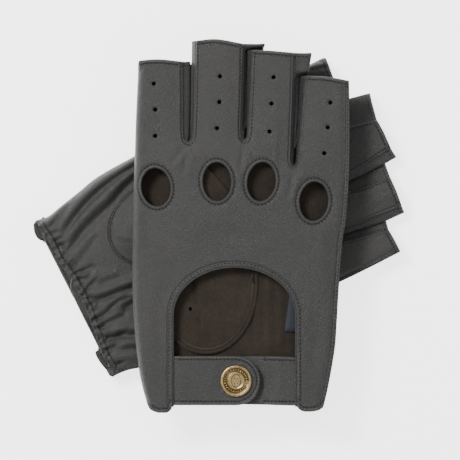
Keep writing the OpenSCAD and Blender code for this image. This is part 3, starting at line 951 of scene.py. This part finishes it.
def back_loops(side):
    o = OUTLINES[side]
    loops = [o.back]
    for k in KNUCKLES:
        loops.append(oval(*k, 56, grow=0.4))
    for row in AIR_HOLES[side]:
        for hole in row:
            loops.append(oval(hole[0], hole[1], 0.95, 0.95, 0, 14))
    return loops


def trank(side):
    o = OUTLINES[side]
    back, palm = back_loops(side), [o.palm, o.thumb]
    upper = cut_sheet(palm if flipped(side) else back, SEEN_NET)
    lower = cut_sheet(back if flipped(side) else palm, HIDDEN_NET)
    p = plan(upper)
    raise_sheet(upper, upper_height(side, p))
    mark(upper, seam_field(side, p, side == "right"))
    p = plan(lower)
    raise_sheet(lower, lower_height(side, p))
    mark(lower, seam_field(side, p, side == "left"))
    bmesh.ops.reverse_faces(lower, faces=lower.faces[:])
    bm = joined(upper, lower)
    return finish_piece(bm, side + "_leather_body", side, side + "_glove",
                        [LEATHER, SUEDE, CUT_EDGE], [side + "_trank"],
                        wall=LEATHER_WALL, inner=1, rim=2)


# ---------------------------------------------------------------------------------------------
# Fourchettes: the side strips between the fingers
# ---------------------------------------------------------------------------------------------
def strip_rows(side, i):
    """Cross-sections of one forked strip, from one fingertip down to the crotch and up to the next."""
    o = OUTLINES[side]
    line = spaced(o.gaps[i], 0.9)
    out = normals_2d(line)
    half = int(np.argmin(line[:, 1]))
    if out[half] @ (np.mean(line[[0, -1]], axis=0) - line[half]) < 0:
        out = -out
    crotch = line[half, 1]
    top = upper_height(side, line) - 0.5
    bottom = lower_height(side, line) + 0.3
    rows = []
    share = STRIP_SHARE[side][i]
    sides_up = [line[:half + 1][::-1], line[half:]]
    for k, (p, n) in enumerate(zip(line, out)):
        first = k <= half
        end = line[0] if first else line[-1]
        rise = np.clip((p[1] - crotch) / (end[1] - crotch), 0, 1)
        if share is None:
            reach_out = STRIP_UNDER[side][i][0 if first else 1]
            f = 1.0 + (reach_out - 1.0) * rise
        else:
            other = sides_up[1 if first else 0]
            width = abs(np.interp(p[1], other[:, 1], other[:, 0]) - p[0])
            f = share * width if first else (1 - share) * width + min(1.2, 0.35 * width)
            if not first:
                clear = float(smoothstep(-2.5, -0.5, p[1] - line[0][1]))
                f = clear * min(f, STRIP_TIP[side][i]) + (1 - clear) * f
            f = max(f, 0.7)
        t, b = top[k], bottom[k]
        drop = t - b
        sag = 0.12 * math.sin(p[1] * 0.55 + i) * min(1, f / 5)
        high = [(-0.6, t + 0.1), (0.2, t + 0.12), (0.55, t - 0.22), (0.8 + 0.12 * f, t - 0.42),
                (0.5 * f + 0.3, t - 0.62 + sag), (0.75 * f, t - 0.8 + sag), (f - 0.35, t - 1.05),
                (f, t - 1.6), (f - 0.05, t - 2.4), (0.85 * f, t - 0.55 * drop), (0.6 * f, t - 0.75 * drop),
                (0.3 * f, t - 0.9 * drop), (-0.1, b), (-0.5, b)]
        low = [(-0.6, t + 0.1), (0.2, t + 0.12), (0.6, t - 0.25), (1.0, t - 1.1), (1.25, t - 2.4),
               (1.4, b + 1.6), (1.6, b - 0.2), (0.5 * f + 0.6, b - 0.9), (f - 0.6, b - 1.1), (f, b - 1.5),
               (f - 0.5, b - 1.9), (0.5 * f + 0.4, b - 1.9), (0.8, b - 0.9), (-0.5, b)]
        wall = [(-0.6, t + 0.1), (0.2, t + 0.12), (0.5, t - 0.12), (0.5 + 0.3 * f, t - 0.1 * drop),
                (0.9 * f, t - 0.2 * drop), (f, t - 0.33 * drop), (0.95 * f, t - 0.45 * drop),
                (0.8 * f, t - 0.56 * drop), (0.62 * f, t - 0.66 * drop), (0.45 * f, t - 0.75 * drop),
                (0.3 * f, t - 0.84 * drop), (0.15 * f, t - 0.92 * drop), (-0.1, b), (-0.5, b)]
        under = [(-0.6, t + 0.1), (0.2, t + 0.12), (0.5, t - 0.2), (0.7, t - 0.12 * drop),
                 (0.8, t - 0.24 * drop), (0.9, t - 0.36 * drop), (0.25 + 0.4 * f, t - 0.48 * drop),
                 (0.1 + 0.7 * f, t - 0.6 * drop), (f, t - 0.74 * drop), (0.9 * f, t - 0.86 * drop),
                 (0.6 * f, t - 0.95 * drop), (0.3 * f, b + 0.05), (-0.1, b), (-0.5, b)]
        mid = [(-0.6, t + 0.1), (0.2, t + 0.12), (0.55, t - 0.25), (0.8 + 0.1 * f, t - 0.6),
               (0.45 * f + 0.2, t - 1.1 + sag), (0.7 * f, t - 1.9 + sag), (0.85 * f, t - 2.7),
               (f, t - 3.4), (f - 0.1, t - 4.2), (0.85 * f, t - 0.72 * drop), (0.6 * f, t - 0.82 * drop),
               (0.3 * f, t - 0.92 * drop), (-0.1, b), (-0.5, b)]
        if side == "left":
            wide = float(smoothstep(2.2, 3.6, f))
            profile = [tuple(wide * x + (1 - wide) * w for x, w in zip(*pair))
                       for pair in zip(high if first else mid, wall if first else under)]
        elif not first:
            profile = under
        elif share is not None:
            profile = wall
        else:
            beyond = OUTLINES[side].tips[i + 1][0][1]
            lift = float(smoothstep(beyond - 0.3, beyond + 2.2, p[1]))
            wide = float(smoothstep(1.6, 2.6, f))
            profile = [tuple(wide * (lift * x + (1 - lift) * y) + (1 - wide) * w for x, y, w in zip(*points))
                       for points in zip(high, low, wall)]
        rows.append([(p[0] + n[0] * a, p[1] + n[1] * a, z) for a, z in profile])
    return rows


def fourchette(side, i, name):
    """One forked strip: down the side of a finger, round the crotch and up the next finger."""
    bm = loft(strip_rows(side, i))
    if sum(f.normal.z for f in bm.faces if f.calc_center_median().z > MIDDLE + 1) < 0:
        bmesh.ops.reverse_faces(bm, faces=bm.faces[:])
    return finish_piece(bm, side + "_" + name + "_strip", side, side + "_glove",
                        [PLAIN_LEATHER, SUEDE, CUT_EDGE], [side + "_" + name],
                        wall=0.7, inner=1, rim=2)


# ---------------------------------------------------------------------------------------------
# Rims, binding, thumb, hem, elastic and label
# ---------------------------------------------------------------------------------------------
def back_height(side, points):
    """Outside of the back in the hand frame, whichever way up the glove lies."""
    if side == "right":
        return upper_height(side, points)
    return GLOVE_THICKNESS - lower_height(side, points)


def knuckle_rims(side):
    """The turned rims of the four knuckle holes."""
    profile = [(-0.28, -1.9), (-0.38, -1.2), (-0.34, -0.5), (-0.14, -0.1), (0.15, 0.04), (0.5, 0.0),
               (0.8, -0.12), (1.0, -0.3), (1.1, -0.5)]
    parts = []
    for k in KNUCKLES:
        edge = oval(*k, 72)
        n = -normals_2d(edge, closed=True)
        rows = []
        for gap, lift in profile:
            ring = edge + n * (gap + 0.35)
            z = back_height(side, edge + n * 2.4) + lift + 0.25
            rows.append([(q[0], q[1], h) for q, h in zip(ring, z)])
        bm = loft(rows, closed=True)
        if sum(f.normal.z for f in bm.faces) < 0:
            bmesh.ops.reverse_faces(bm, faces=bm.faces[:])
        parts.append(bm)
    return finish_piece(joined(*parts), side + "_knuckle_rims", side, side + "_glove",
                        [PLAIN_LEATHER, SUEDE], [side + "_knuckle_facings"], wall=0.4,
                        upside=flipped(side))


def binding(side):
    """The turned binding around the back opening: a rounded lip, a groove and a flat turn."""
    line = opening_line(0.0, foot=2.9)
    n = normals_2d(line)
    if n[len(line) // 2][1] < 0:
        n = -n
    profile = [(0.3, -1.5), (0.08, -0.9), (0.0, -0.3), (0.1, 0.05), (0.36, 0.18), (0.6, 0.06), (0.8, -0.26),
               (1.0, -0.28), (1.18, 0.02), (1.45, 0.16), (1.75, 0.1), (1.98, -0.16), (2.1, -0.4)]
    z = back_height(side, line + n * 4.2)
    if side == "right":
        z = z - 0.25 * (1 - smoothstep(20, 34, line[:, 1]))
    rows = []
    for gap, lift in profile:
        ring = line + n * gap
        rows.append([(q[0], q[1], h + lift) for q, h in zip(ring, z)])
    bm = loft(rows)
    face(bm)
    return finish_piece(bm, side + "_opening_binding_edge", side, side + "_glove", [PLAIN_LEATHER, SUEDE],
                        [side + "_opening_binding"], wall=0.45, upside=flipped(side))


THUMB_REACH = 62
THUMB_TIP_HALF = 16.5


def thumb_outline(side, angle, grow):
    """Plan of the flattened thumb: the arc of the oval root, and the tapering tube."""
    cu, cv, a, b = THUMB_HOLE[side]
    c, s = math.cos(math.radians(angle)), math.sin(math.radians(angle))
    root = oval(cu, cv, a + grow, b + grow, 0, 120)
    flank = min(THUMB_TIP_HALF, a) + grow
    tube = [(0, -a - grow), (THUMB_REACH, -flank), (THUMB_REACH, flank), (0, a + grow)]
    tube = np.array([(cu + x * c - y * s, cv + x * s + y * c) for x, y in tube])
    inside = []
    for p in root:
        x, y = (p - (cu, cv)) @ (c, s), (p - (cu, cv)) @ (-s, c)
        inside.append(x > 0 and abs(y) < a + grow - (a + grow - flank) * x / THUMB_REACH)
    start = next(i for i in range(len(root)) if inside[i - 1] and not inside[i])
    arc = [root[(start + i) % len(root)] for i in range(len(root)) if not inside[(start + i) % len(root)]]
    sides_and_tip = np.vstack([spaced(np.array([arc[-1], tube[1]]), 2)[1:], spaced(tube[1:3], 2)[1:],
                               spaced(np.array([tube[2], arc[0]]), 2)[1:-1]])
    return np.vstack([sides_and_tip, np.array(arc)]), np.array(arc)


def thumb_stall(side, angle):
    """The thumb's own sleeve, pressed flat over the palm and sewn to it round the arc."""
    outline, arc = thumb_outline(side, angle, 0.25)
    root = -0.35 if side == "right" else 0.25
    parts = []
    for away in (True, False):
        loops = [outline] if away else [outline, oval(*THUMB_HOLE[side], 0, 80, grow=-2.0)]
        bm = cut_sheet(loops, 2.6)
        p = plan(bm)
        share = smoothstep(0, 11, distance(p, arc))
        middle = root + (-1.6 - root) * share
        half = 0.24 + 0.76 * share
        d = distance(p, np.vstack([outline, outline[:1]]))
        z = half * rolled(d, 2.0) + 0.14 * waves(p, 12, 3.3) * share
        if away and side == "left":
            for line, depth, width in THUMB_CREASES:
                z += crease(p, line, depth, width)
        raise_sheet(bm, middle - z if away else middle + z)
        mark(bm, np.full(len(bm.verts), 3.0))
        if away:
            bmesh.ops.reverse_faces(bm, faces=bm.faces[:])
        parts.append(bm)
    return finish_piece(joined(*parts), side + "_thumb_sleeve", side, side + "_glove", [PLAIN_LEATHER, SUEDE],
                        [side + "_thumb_stall"], wall=0.3, inner=1, upside=flipped(side))


THUMB_CREASES = [(line_of([(-13.4, 34), (-11.8, 38), (-9.2, 42.4), (-7, 48)]), 0.5, 0.8),
                 (line_of([(-22, 44), (-16, 41), (-10.5, 42.5)]), 0.35, 1.0)]
THUMB_LINE = smooth_line([(-19.6, 76), (-19.2, 63), (-17.4, 51), (-16.2, 42), (-14.6, 33)], 1.2)
STITCH_HOLE = (-21.3, 48.8)


def thumb_gusset(side):
    """The leather across the thumb hole, folded along the pressed thumb."""
    hole_edge = oval(*THUMB_HOLE[side], 0, 96, grow=0.9)
    bm = cut_sheet([hole_edge, oval(*STITCH_HOLE, 0.75, 0.85, 0, 12)], 2.6)
    p = plan(bm)
    inward = -oval_distance(p, THUMB_HOLE[side] + (0,))
    if side == "right":
        d, sign, along = reach(p, THUMB_LINE)
        s = d * sign
        ends = 1 - smoothstep(0.75, 1, along)
        z = lower_height(side, p) + 0.75 - 0.5 * smoothstep(0.2, 2.2, inward)
        z += ends * (1.7 * smoothstep(-0.3, 0.9, s) * np.exp(-np.maximum(s, 0) / 7)
                     - 0.75 * np.exp(-((s + 0.7) / 0.8) ** 2))
        z += 0.25 * np.exp(-((inward - 3.4) / 0.9) ** 2) + 0.25 * waves(p, 14, 2.2)
    else:
        palm = GLOVE_THICKNESS - upper_height(side, p)
        z = palm + 0.55 - 0.75 * smoothstep(0.4, 3.0, inward)
    raise_sheet(bm, z)
    bmesh.ops.reverse_faces(bm, faces=bm.faces[:])
    return finish_piece(bm, side + "_thumb_gusset_panel", side, side + "_glove", [PLAIN_LEATHER, SUEDE],
                        [side + "_thumb_gusset"], wall=0.6, inner=1, upside=flipped(side))


def inner_seam(side):
    """Raised seam allowance round the thumb hole, seen from inside the glove."""
    line = oval(*THUMB_HOLE[side], 0, 150, grow=0.1)
    line = np.vstack([line, line[:4]])
    n = normals_2d(line)
    base = lower_height("right", line) if side == "right" else GLOVE_THICKNESS - upper_height("left", line)
    rows = []
    for k in range(len(line)):
        wobble = 0.15 * math.sin(k * 0.7) + 0.1 * math.sin(k * 1.9)
        rows.append([(line[k][0] + n[k][0] * x, line[k][1] + n[k][1] * x, base[k] + z)
                     for x, z in ((-1.7, 0.9), (-1.6, 1.7), (-1.1, 2.3 + wobble), (-0.4, 2.2 + wobble),
                                  (-0.05, 1.35), (0.35, 1.75), (1.0, 1.7), (1.3, 0.9))])
    bm = loft(rows)
    face(bm)
    return finish_piece(bm, side + "_thumb_seam_allowance", side, side + "_glove", [SUEDE], wall=0.3,
                        upside=flipped(side))


def inner_patch():
    """Flap of the index finger's forked strip, lying inside the palm."""
    ring = np.array([(-24, 113), (-19, 119), (-14.5, 117), (-3, 104), (-6, 97), (-16, 95), (-24, 101)])
    ring = spaced(np.vstack([ring, ring[:1]]), 1.2)[:-1]
    bm = cut_sheet([ring], 3.0)
    p = plan(bm)
    raise_sheet(bm, lower_height("right", p) + LEATHER_WALL + 1.9 + 0.25 * waves(p, 7, 8.8))
    return finish_piece(bm, "right_inner_flap", "right", "right_glove", [SUEDE], wall=0.7)


def cuff_hem(side):
    """Turned-in leather at the cuff: a band inside the palm edge and inside each lobe."""
    o = OUTLINES[side]
    rows = []
    for gap in (0.35, 1.4, 2.6, 4.0, 5.4):
        q = o.palm_cuff + np.array([0, gap])
        q[:, 0] *= 0.93
        if side == "right":
            z = lower_height(side, q) + LEATHER_WALL + 0.25
        else:
            z = upper_height(side, q) - LEATHER_WALL - 0.25
        rows.append([(a[0], a[1], h) for a, h in zip(q, z)])
    band = loft(rows)
    face(band, up=not flipped(side))
    parts = [band]
    for lobe in o.lobes:
        inner = offset_inward(lobe, 0.45)
        top = 9.2
        ring = np.vstack([inner, [[inner[-1][0], top]], [[inner[0][0], top]]])
        flap = cut_sheet([spaced(np.vstack([ring, ring[:1]]), 1.2)[:-1]], 2.6)
        p = plan(flap)
        if side == "right":
            raise_sheet(flap, upper_height(side, p) - LEATHER_WALL - 0.1)
            bmesh.ops.reverse_faces(flap, faces=flap.faces[:])
        else:
            raise_sheet(flap, lower_height(side, p) + LEATHER_WALL + 0.1)
        parts.append(flap)
    return finish_piece(joined(*parts), side + "_cuff_turning", side, side + "_glove",
                        [PLAIN_LEATHER], [side + "_cuff_hem"], wall=-0.4)


def wrist_elastic(side):
    """Flat band sewn across the palm inside the cuff."""
    across = np.linspace(-37, 37, 60)
    rows = []
    for v in np.linspace(10.2, 15.8, 6):
        q = np.stack([across, np.full(60, v)], axis=1)
        if side == "right":
            z = lower_height(side, q) + LEATHER_WALL + 0.55
        else:
            z = upper_height(side, q) - LEATHER_WALL - 0.75
        rows.append([(a[0], a[1], h) for a, h in zip(q, z)])
    bm = loft(rows)
    face(bm, up=not flipped(side))
    return finish_piece(bm, side + "_elastic_band", side, side + "_glove", [ELASTIC],
                        [side + "_wrist_elastic"], wall=0.4)


def size_label():
    """Plain woven label sewn flat inside the right glove, beside the outseam."""
    rows = []
    for v in np.linspace(38.2, 56.6, 8):
        lean = (v - 38) * 0.15
        q = np.array([(22.9 + lean + a, v - 0.06 * a) for a in np.linspace(0, 12, 7)])
        z = lower_height("right", q) + LEATHER_WALL + 0.75
        rows.append([(a[0], a[1], h) for a, h in zip(q, z)])
    bm = loft(rows)
    face(bm)
    return finish_piece(bm, "right_plain_label", "right", "right_glove", [LABEL],
                        ["right_size_label"], wall=0.3)


# ---------------------------------------------------------------------------------------------
# Strap, stud tab and snap
# ---------------------------------------------------------------------------------------------
STRAP_HALF = 11.6
STRAP_ROOT = -33.0
STRAP_SEAM = 1.7
TAB_INSET = 0.3
HINGE = (-28.1, 15.2, 10.1)
LINING_START = -26.2


def strap_bend(side):
    """Where the strap turns: from just inside its sewn root to just outside the binding."""
    u, v, h = HINGE
    h = GLOVE_THICKNESS - h if flipped(side) else h
    return [tuple(MM * x for x in PLACES[side] @ Vector((u + gap, v, h))) for gap in (-2.0, 1.6)]


def strap_edge(grow, points_per_end=26):
    """Top edge, round end and bottom edge of the strap, from root to root."""
    half = STRAP_HALF + grow
    a = np.linspace(math.pi / 2, -math.pi / 2, points_per_end)
    end = np.stack([SNAP[0] + half * np.cos(a), SNAP[1] + half * np.sin(a)], axis=1)
    return np.vstack([[STRAP_ROOT, SNAP[1] + half], end, [STRAP_ROOT, SNAP[1] - half]])


def strap_height(points):
    """Outside of the strap, which dips a little beside the cap."""
    r = np.hypot(points[:, 0] - SNAP[0], points[:, 1] - SNAP[1])
    z = 10.62 + 0.06 * waves(points, 8, 4.4) - 0.22 * np.exp(-((r - 8.6) / 1.4) ** 2)
    z -= 0.85 * (1 - smoothstep(-29.2, -26.0, points[:, 0]))
    edge = strap_edge(0)
    d = distance(points, np.vstack([edge, edge[:1]]))
    return z - 0.45 * (1 - rolled(d, 0.9)) + 0.12 * (1 - smoothstep(1.2, 2.0, d))


def strap(side):
    edge = spaced(strap_edge(0), 1.0)
    bm = cut_sheet([edge], 2.0)
    p = plan(bm)
    raise_sheet(bm, strap_height(p))
    mark(bm, np.clip(distance(p, edge) - STRAP_SEAM, -3, 3))
    return finish_piece(bm, side + "_strap_leather", side, side + "_strap", [LEATHER, PLAIN_LEATHER, CUT_EDGE],
                        [side + "_strap"], wall=1.0, inner=1, rim=2, upside=flipped(side),
                        bend=strap_bend(side))


def strap_lining(side):
    edge = spaced(strap_edge(-0.7), 1.0)
    edge = edge[edge[:, 0] > LINING_START + 0.3]
    edge = np.vstack([[[LINING_START, edge[0][1]]], edge, [[LINING_START, edge[-1][1]]]])
    bm = cut_sheet([edge], 3.0)
    raise_sheet(bm, np.full(len(bm.verts), 9.56))
    mark(bm, np.clip(distance(plan(bm), spaced(strap_edge(0), 1.0)) - STRAP_SEAM, -3, 3))
    return finish_piece(bm, side + "_strap_backing", side, side + "_strap", [LEATHER],
                        [side + "_strap_lining"], wall=0.42, upside=flipped(side))


def tab_height(points):
    """Outside of the lower tab, which climbs from under the strap to the little-finger lobe."""
    slope = smoothstep(11.5, 21, points[:, 0])
    return 7.35 + 2.9 * slope + 0.12 * waves(points, 9, 7.7) * slope


def stud_tab(side):
    """The lower tab, from under the little-finger lobe, with its own round end."""
    half = STRAP_HALF - TAB_INSET
    a = np.linspace(-math.pi / 2, -3 * math.pi / 2, 24)
    end = np.stack([SNAP[0] + half * np.cos(a), SNAP[1] + half * np.sin(a)], axis=1)
    start = [[31.2, SNAP[1] - half - 0.6], [24, SNAP[1] - half - 0.4]]
    finish = [[16, SNAP[1] + half + 0.2], [24, SNAP[1] + half], [31.2, SNAP[1] + half - 0.3]]
    edge = spaced(np.vstack([start, end, finish]), 1.0)
    bm = cut_sheet([edge], 2.2)
    p = plan(bm)
    z = tab_height(p)
    d = distance(p, edge)
    z -= 0.4 * (1 - rolled(d, 0.9))
    raise_sheet(bm, z)
    mark(bm, np.clip(np.where(p[:, 0] > 13, d, 9) - STRAP_SEAM, -3, 3))
    return finish_piece(bm, side + "_stud_tab_leather", side, side + "_glove",
                        [LEATHER, PLAIN_LEATHER, CUT_EDGE], [side + "_stud_tab"],
                        wall=1.0, inner=1, rim=2, upside=flipped(side))


def snap_cap(side):
    """Antique brass cap: rolled rim, a ring of small bars between two beads, and an upright oval."""
    base, top = 10.6, 12.0
    ring_floor = top - 0.5
    bm = bmesh.new()
    profile = [(0.0, top - 0.22), (1.0, top - 0.22), (2.2, top - 0.24), (3.2, top - 0.28), (3.4, top - 0.24),
               (3.55, top - 0.1), (3.8, top - 0.06), (4.0, top - 0.14), (4.12, top - 0.36), (4.3, ring_floor),
               (5.0, ring_floor), (5.85, ring_floor), (6.0, top - 0.4), (6.15, top - 0.2), (6.45, top - 0.06),
               (6.75, top - 0.04), (7.05, top - 0.12), (7.3, top - 0.34), (7.45, top - 0.62), (7.5, top - 0.9),
               (7.4, base + 0.1), (6.9, base), (3.0, base), (0.0, base)]
    line = [bm.verts.new((SNAP[0] + r, SNAP[1], z)) for r, z in profile]
    edges = [bm.edges.new(e) for e in zip(line, line[1:])]
    bmesh.ops.spin(bm, geom=line + edges, cent=(SNAP[0], SNAP[1], 0), axis=(0, 0, 1), angle=2 * math.pi,
                   steps=72, use_merge=True)
    bmesh.ops.remove_doubles(bm, verts=bm.verts[:], dist=0.001)
    bmesh.ops.recalc_face_normals(bm, faces=bm.faces[:])

    base_verts = len(bm.verts)

    def bead(place, turn, size):
        bmesh.ops.create_uvsphere(bm, u_segments=8, v_segments=6, radius=0.5,
                                  matrix=Matrix.Translation(place) @ turn @ Matrix.Diagonal((*size, 1)))

    bars, bar_radius = 28, 5.1
    for i in range(bars):
        a = 2 * math.pi * i / bars
        place = (SNAP[0] + bar_radius * math.cos(a), SNAP[1] + bar_radius * math.sin(a), ring_floor)
        if i % 7 == 0:
            bead(place, Matrix.Rotation(a, 4, "Z"), (0.8, 0.8, 0.7))
        else:
            slant = a + (0.0, 0.55, -0.55)[i % 3]
            bead(place, Matrix.Rotation(slant, 4, "Z"), (1.35, 0.55, 0.62))
    raised_verts = len(bm.verts)
    ring = oval(SNAP[0], SNAP[1], 2.2, 2.95, 0, 36)
    for here, after in zip(ring, np.roll(ring, -1, axis=0)):
        p, q = Vector((*here, top - 0.3)), Vector((*after, top - 0.3))
        bead((p + q) / 2, (q - p).to_track_quat("X", "Z").to_matrix().to_4x4(), (0.6, 0.42, 0.3))
    for x, y in ((-0.75, 1.2), (0.75, 1.2), (-0.75, -1.2), (0.75, -1.2), (0, 0)):
        bead((SNAP[0] + x, SNAP[1] + y, top - 0.28), Matrix.Rotation(0.6, 4, "Z"), (0.95, 0.5, 0.3))
    high = np.array([v.co.z for v in bm.verts])
    shine = 0.18 + 0.82 * np.clip((high - ring_floor) / (top - 0.25 - ring_floor), 0, 1)
    shine[base_verts:raised_verts] = 0.8
    shine[raised_verts:] = 0.1
    mark(bm, shine, "relief")
    return finish_piece(bm, side + "_snap_cap_face", side, side + "_strap", [CAP_BRASS],
                        [side + "_snap_cap"], upside=flipped(side))


# ---------------------------------------------------------------------------------------------
# Stitching
# ---------------------------------------------------------------------------------------------
def glove_rows(side, upper):
    """Stitch rows that one face of the glove shares with the other: gaps, fingertips and outseam."""
    o = OUTLINES[side]
    rows = [offset_away(g, FINGER_STITCH) for g in o.gaps]
    rows += [(spaced(t, 0.8) + np.array([0, -TIP_STITCH]))[1:-1] for t in o.tips]
    rows.append(o.little + np.array([-FLANGE + 0.85, 0]))
    if upper == (side == "left"):
        ring = oval(*THUMB_HOLE[side], 0, 220, grow=1.2)
        rows += [np.vstack([ring, ring[:1]]), (o.palm_cuff + np.array([0, CUFF_STITCH[side]]))[2:-2]]
        if side == "left":
            rows.append(LEFT_CREASES[-1][0])
    return rows


def glove_stitching(side):
    """Stitches along the seams and hems of both faces."""
    bm = bmesh.new()
    for upper, height in ((True, upper_height), (False, lower_height)):
        for line in glove_rows(side, upper):
            sew(bm, line, height(side, line), width=0.44)
    for lobe in OUTLINES[side].lobes:
        line = offset_inward(lobe, LOBE_STITCH)
        if side == "right":
            sew(bm, line, upper_height(side, line) - LEATHER_WALL - 0.55)
        else:
            sew(bm, line, lower_height(side, line) + LEATHER_WALL + 0.55)
    for i in range(3):
        rows = strip_rows(side, i)
        for end in (rows, rows[::-1]):
            run = np.cumsum([(Vector(a[1]) - Vector(b[1])).length for a, b in zip(end, end[1:])])
            row = np.array(end[int(np.argmax(run > TIP_STITCH)) + 1][1:7])
            if np.hypot(*(row[-1] - row[0])[:2]) > 2.6:
                line = spaced(row, 0.6)
                sew(bm, line[:, :2], line[:, 2])
    return finish_piece(bm, side + "_stitching", side, side + "_glove", [THREAD])


def back_stitching(side):
    """Stitches that only the back has: lobes, opening, knuckle holes and the stud tab."""
    bm = bmesh.new()
    rows = [offset_inward(lobe, LOBE_STITCH) for lobe in OUTLINES[side].lobes]
    rows.append(opening_line(OPENING_STITCH, foot=4.5))
    for k in KNUCKLES:
        ring = oval(*k, 110, grow=KNUCKLE_STITCH)
        rows.append(np.vstack([ring, ring[:1]]))
    for line in rows:
        sew(bm, line, back_height(side, line), skip_ends=0.3)
    inner = opening_line(0.9, foot=4)
    sew(bm, inner, back_height(side, inner) - 0.18, length=1.05, width=0.42)
    half = STRAP_HALF - TAB_INSET - STRAP_SEAM
    for v, end in ((SNAP[1] + half, 28.6), (SNAP[1] - half - 0.3, 28.6)):
        line = spaced(np.array([(13.0, v), (end, v)]), 0.6)
        sew(bm, line, tab_height(line) + 0.03)
    return finish_piece(bm, side + "_back_stitching", side, side + "_glove", [THREAD],
                        upside=flipped(side))


def strap_thread(side):
    """The stitch row that runs round the strap's edge."""
    bm = bmesh.new()
    line = spaced(strap_edge(-1.8), 0.6)
    line = line[line[:, 0] > -27.6]
    sew(bm, line, strap_height(line))
    return finish_piece(bm, side + "_strap_stitching", side, side + "_strap", [THREAD],
                        upside=flipped(side), bend=strap_bend(side))


for side, angle in (("right", 60), ("left", 75)):
    trank(side)
    for i, finger in enumerate(("index", "middle", "ring")):
        fourchette(side, i, "fourchette_" + finger)
    knuckle_rims(side)
    binding(side)
    thumb_stall(side, angle)
    thumb_gusset(side)
    inner_seam(side)
    cuff_hem(side)
    wrist_elastic(side)
    strap(side)
    strap_lining(side)
    stud_tab(side)
    snap_cap(side)
    glove_stitching(side)
    back_stitching(side)
    strap_thread(side)
inner_patch()
size_label()

# The rest of each snap keeps its CAD shape and gets the brass finish.
for side in ("right", "left"):
    for part in ("snap_socket", "snap_spring", "snap_stud", "snap_post"):
        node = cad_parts[side + "_" + part]
        node.data.materials.clear()
        node.data.materials.append(SNAP_BRASS)

# ---------------------------------------------------------------------------------------------
# Floor, light and camera
# ---------------------------------------------------------------------------------------------
FLOOR_HALF = 3.0
floor_bm = bmesh.new()
bmesh.ops.create_grid(floor_bm, x_segments=1, y_segments=1, size=FLOOR_HALF)
floor_mesh = bpy.data.meshes.new("floor")
floor_bm.to_mesh(floor_mesh)
floor_bm.free()
floor = bpy.data.objects.new("floor", floor_mesh)
bpy.context.scene.collection.objects.link(floor)
pale = bpy.data.materials.new("pale_floor")
pale.use_nodes = True
pale_shader = pale.node_tree.nodes["Principled BSDF"]
pale_shader.inputs["Base Color"].default_value = (0.93, 0.93, 0.93, 1)
pale_shader.inputs["Roughness"].default_value = 0.9
pale_shader.inputs["Emission Color"].default_value = (1, 1, 1, 1)
pale_shader.inputs["Emission Strength"].default_value = 2.6
floor_mesh.materials.append(pale)

world = bpy.data.worlds.new("studio")
bpy.context.scene.world = world
world.use_nodes = True
world.node_tree.nodes["Background"].inputs["Color"].default_value = (1, 1, 1, 1)
world.node_tree.nodes["Background"].inputs["Strength"].default_value = 0.75


def soft_light(name, place, size, power):
    data = bpy.data.lights.new(name, "AREA")
    data.shape = "SQUARE"
    data.size = size
    data.energy = power
    light = bpy.data.objects.new(name, data)
    light.location = place
    light.rotation_euler = (-Vector(place)).to_track_quat("-Z", "Y").to_euler()
    bpy.context.scene.collection.objects.link(light)


soft_light("key_light", (-0.55, 0.5, 0.95), 0.35, 17)
soft_light("fill_light", (0.6, -0.5, 1.1), 0.9, 3)

camera_data = bpy.data.cameras.new("camera")
camera = bpy.data.objects.new("camera", camera_data)
bpy.context.scene.collection.objects.link(camera)
bpy.context.scene.camera = camera
VIEW_WIDTH = 0.2162
CAMERA_HEIGHT = 1.53
GLOVES_TOP = 0.03
SENSOR = 36
camera.location = (0.0052, -0.0019, CAMERA_HEIGHT)
camera.rotation_euler = (0, 0, 0)
camera_data.sensor_width = SENSOR
camera_data.lens = SENSOR * (CAMERA_HEIGHT - GLOVES_TOP) / VIEW_WIDTH
camera_data.clip_end = 20
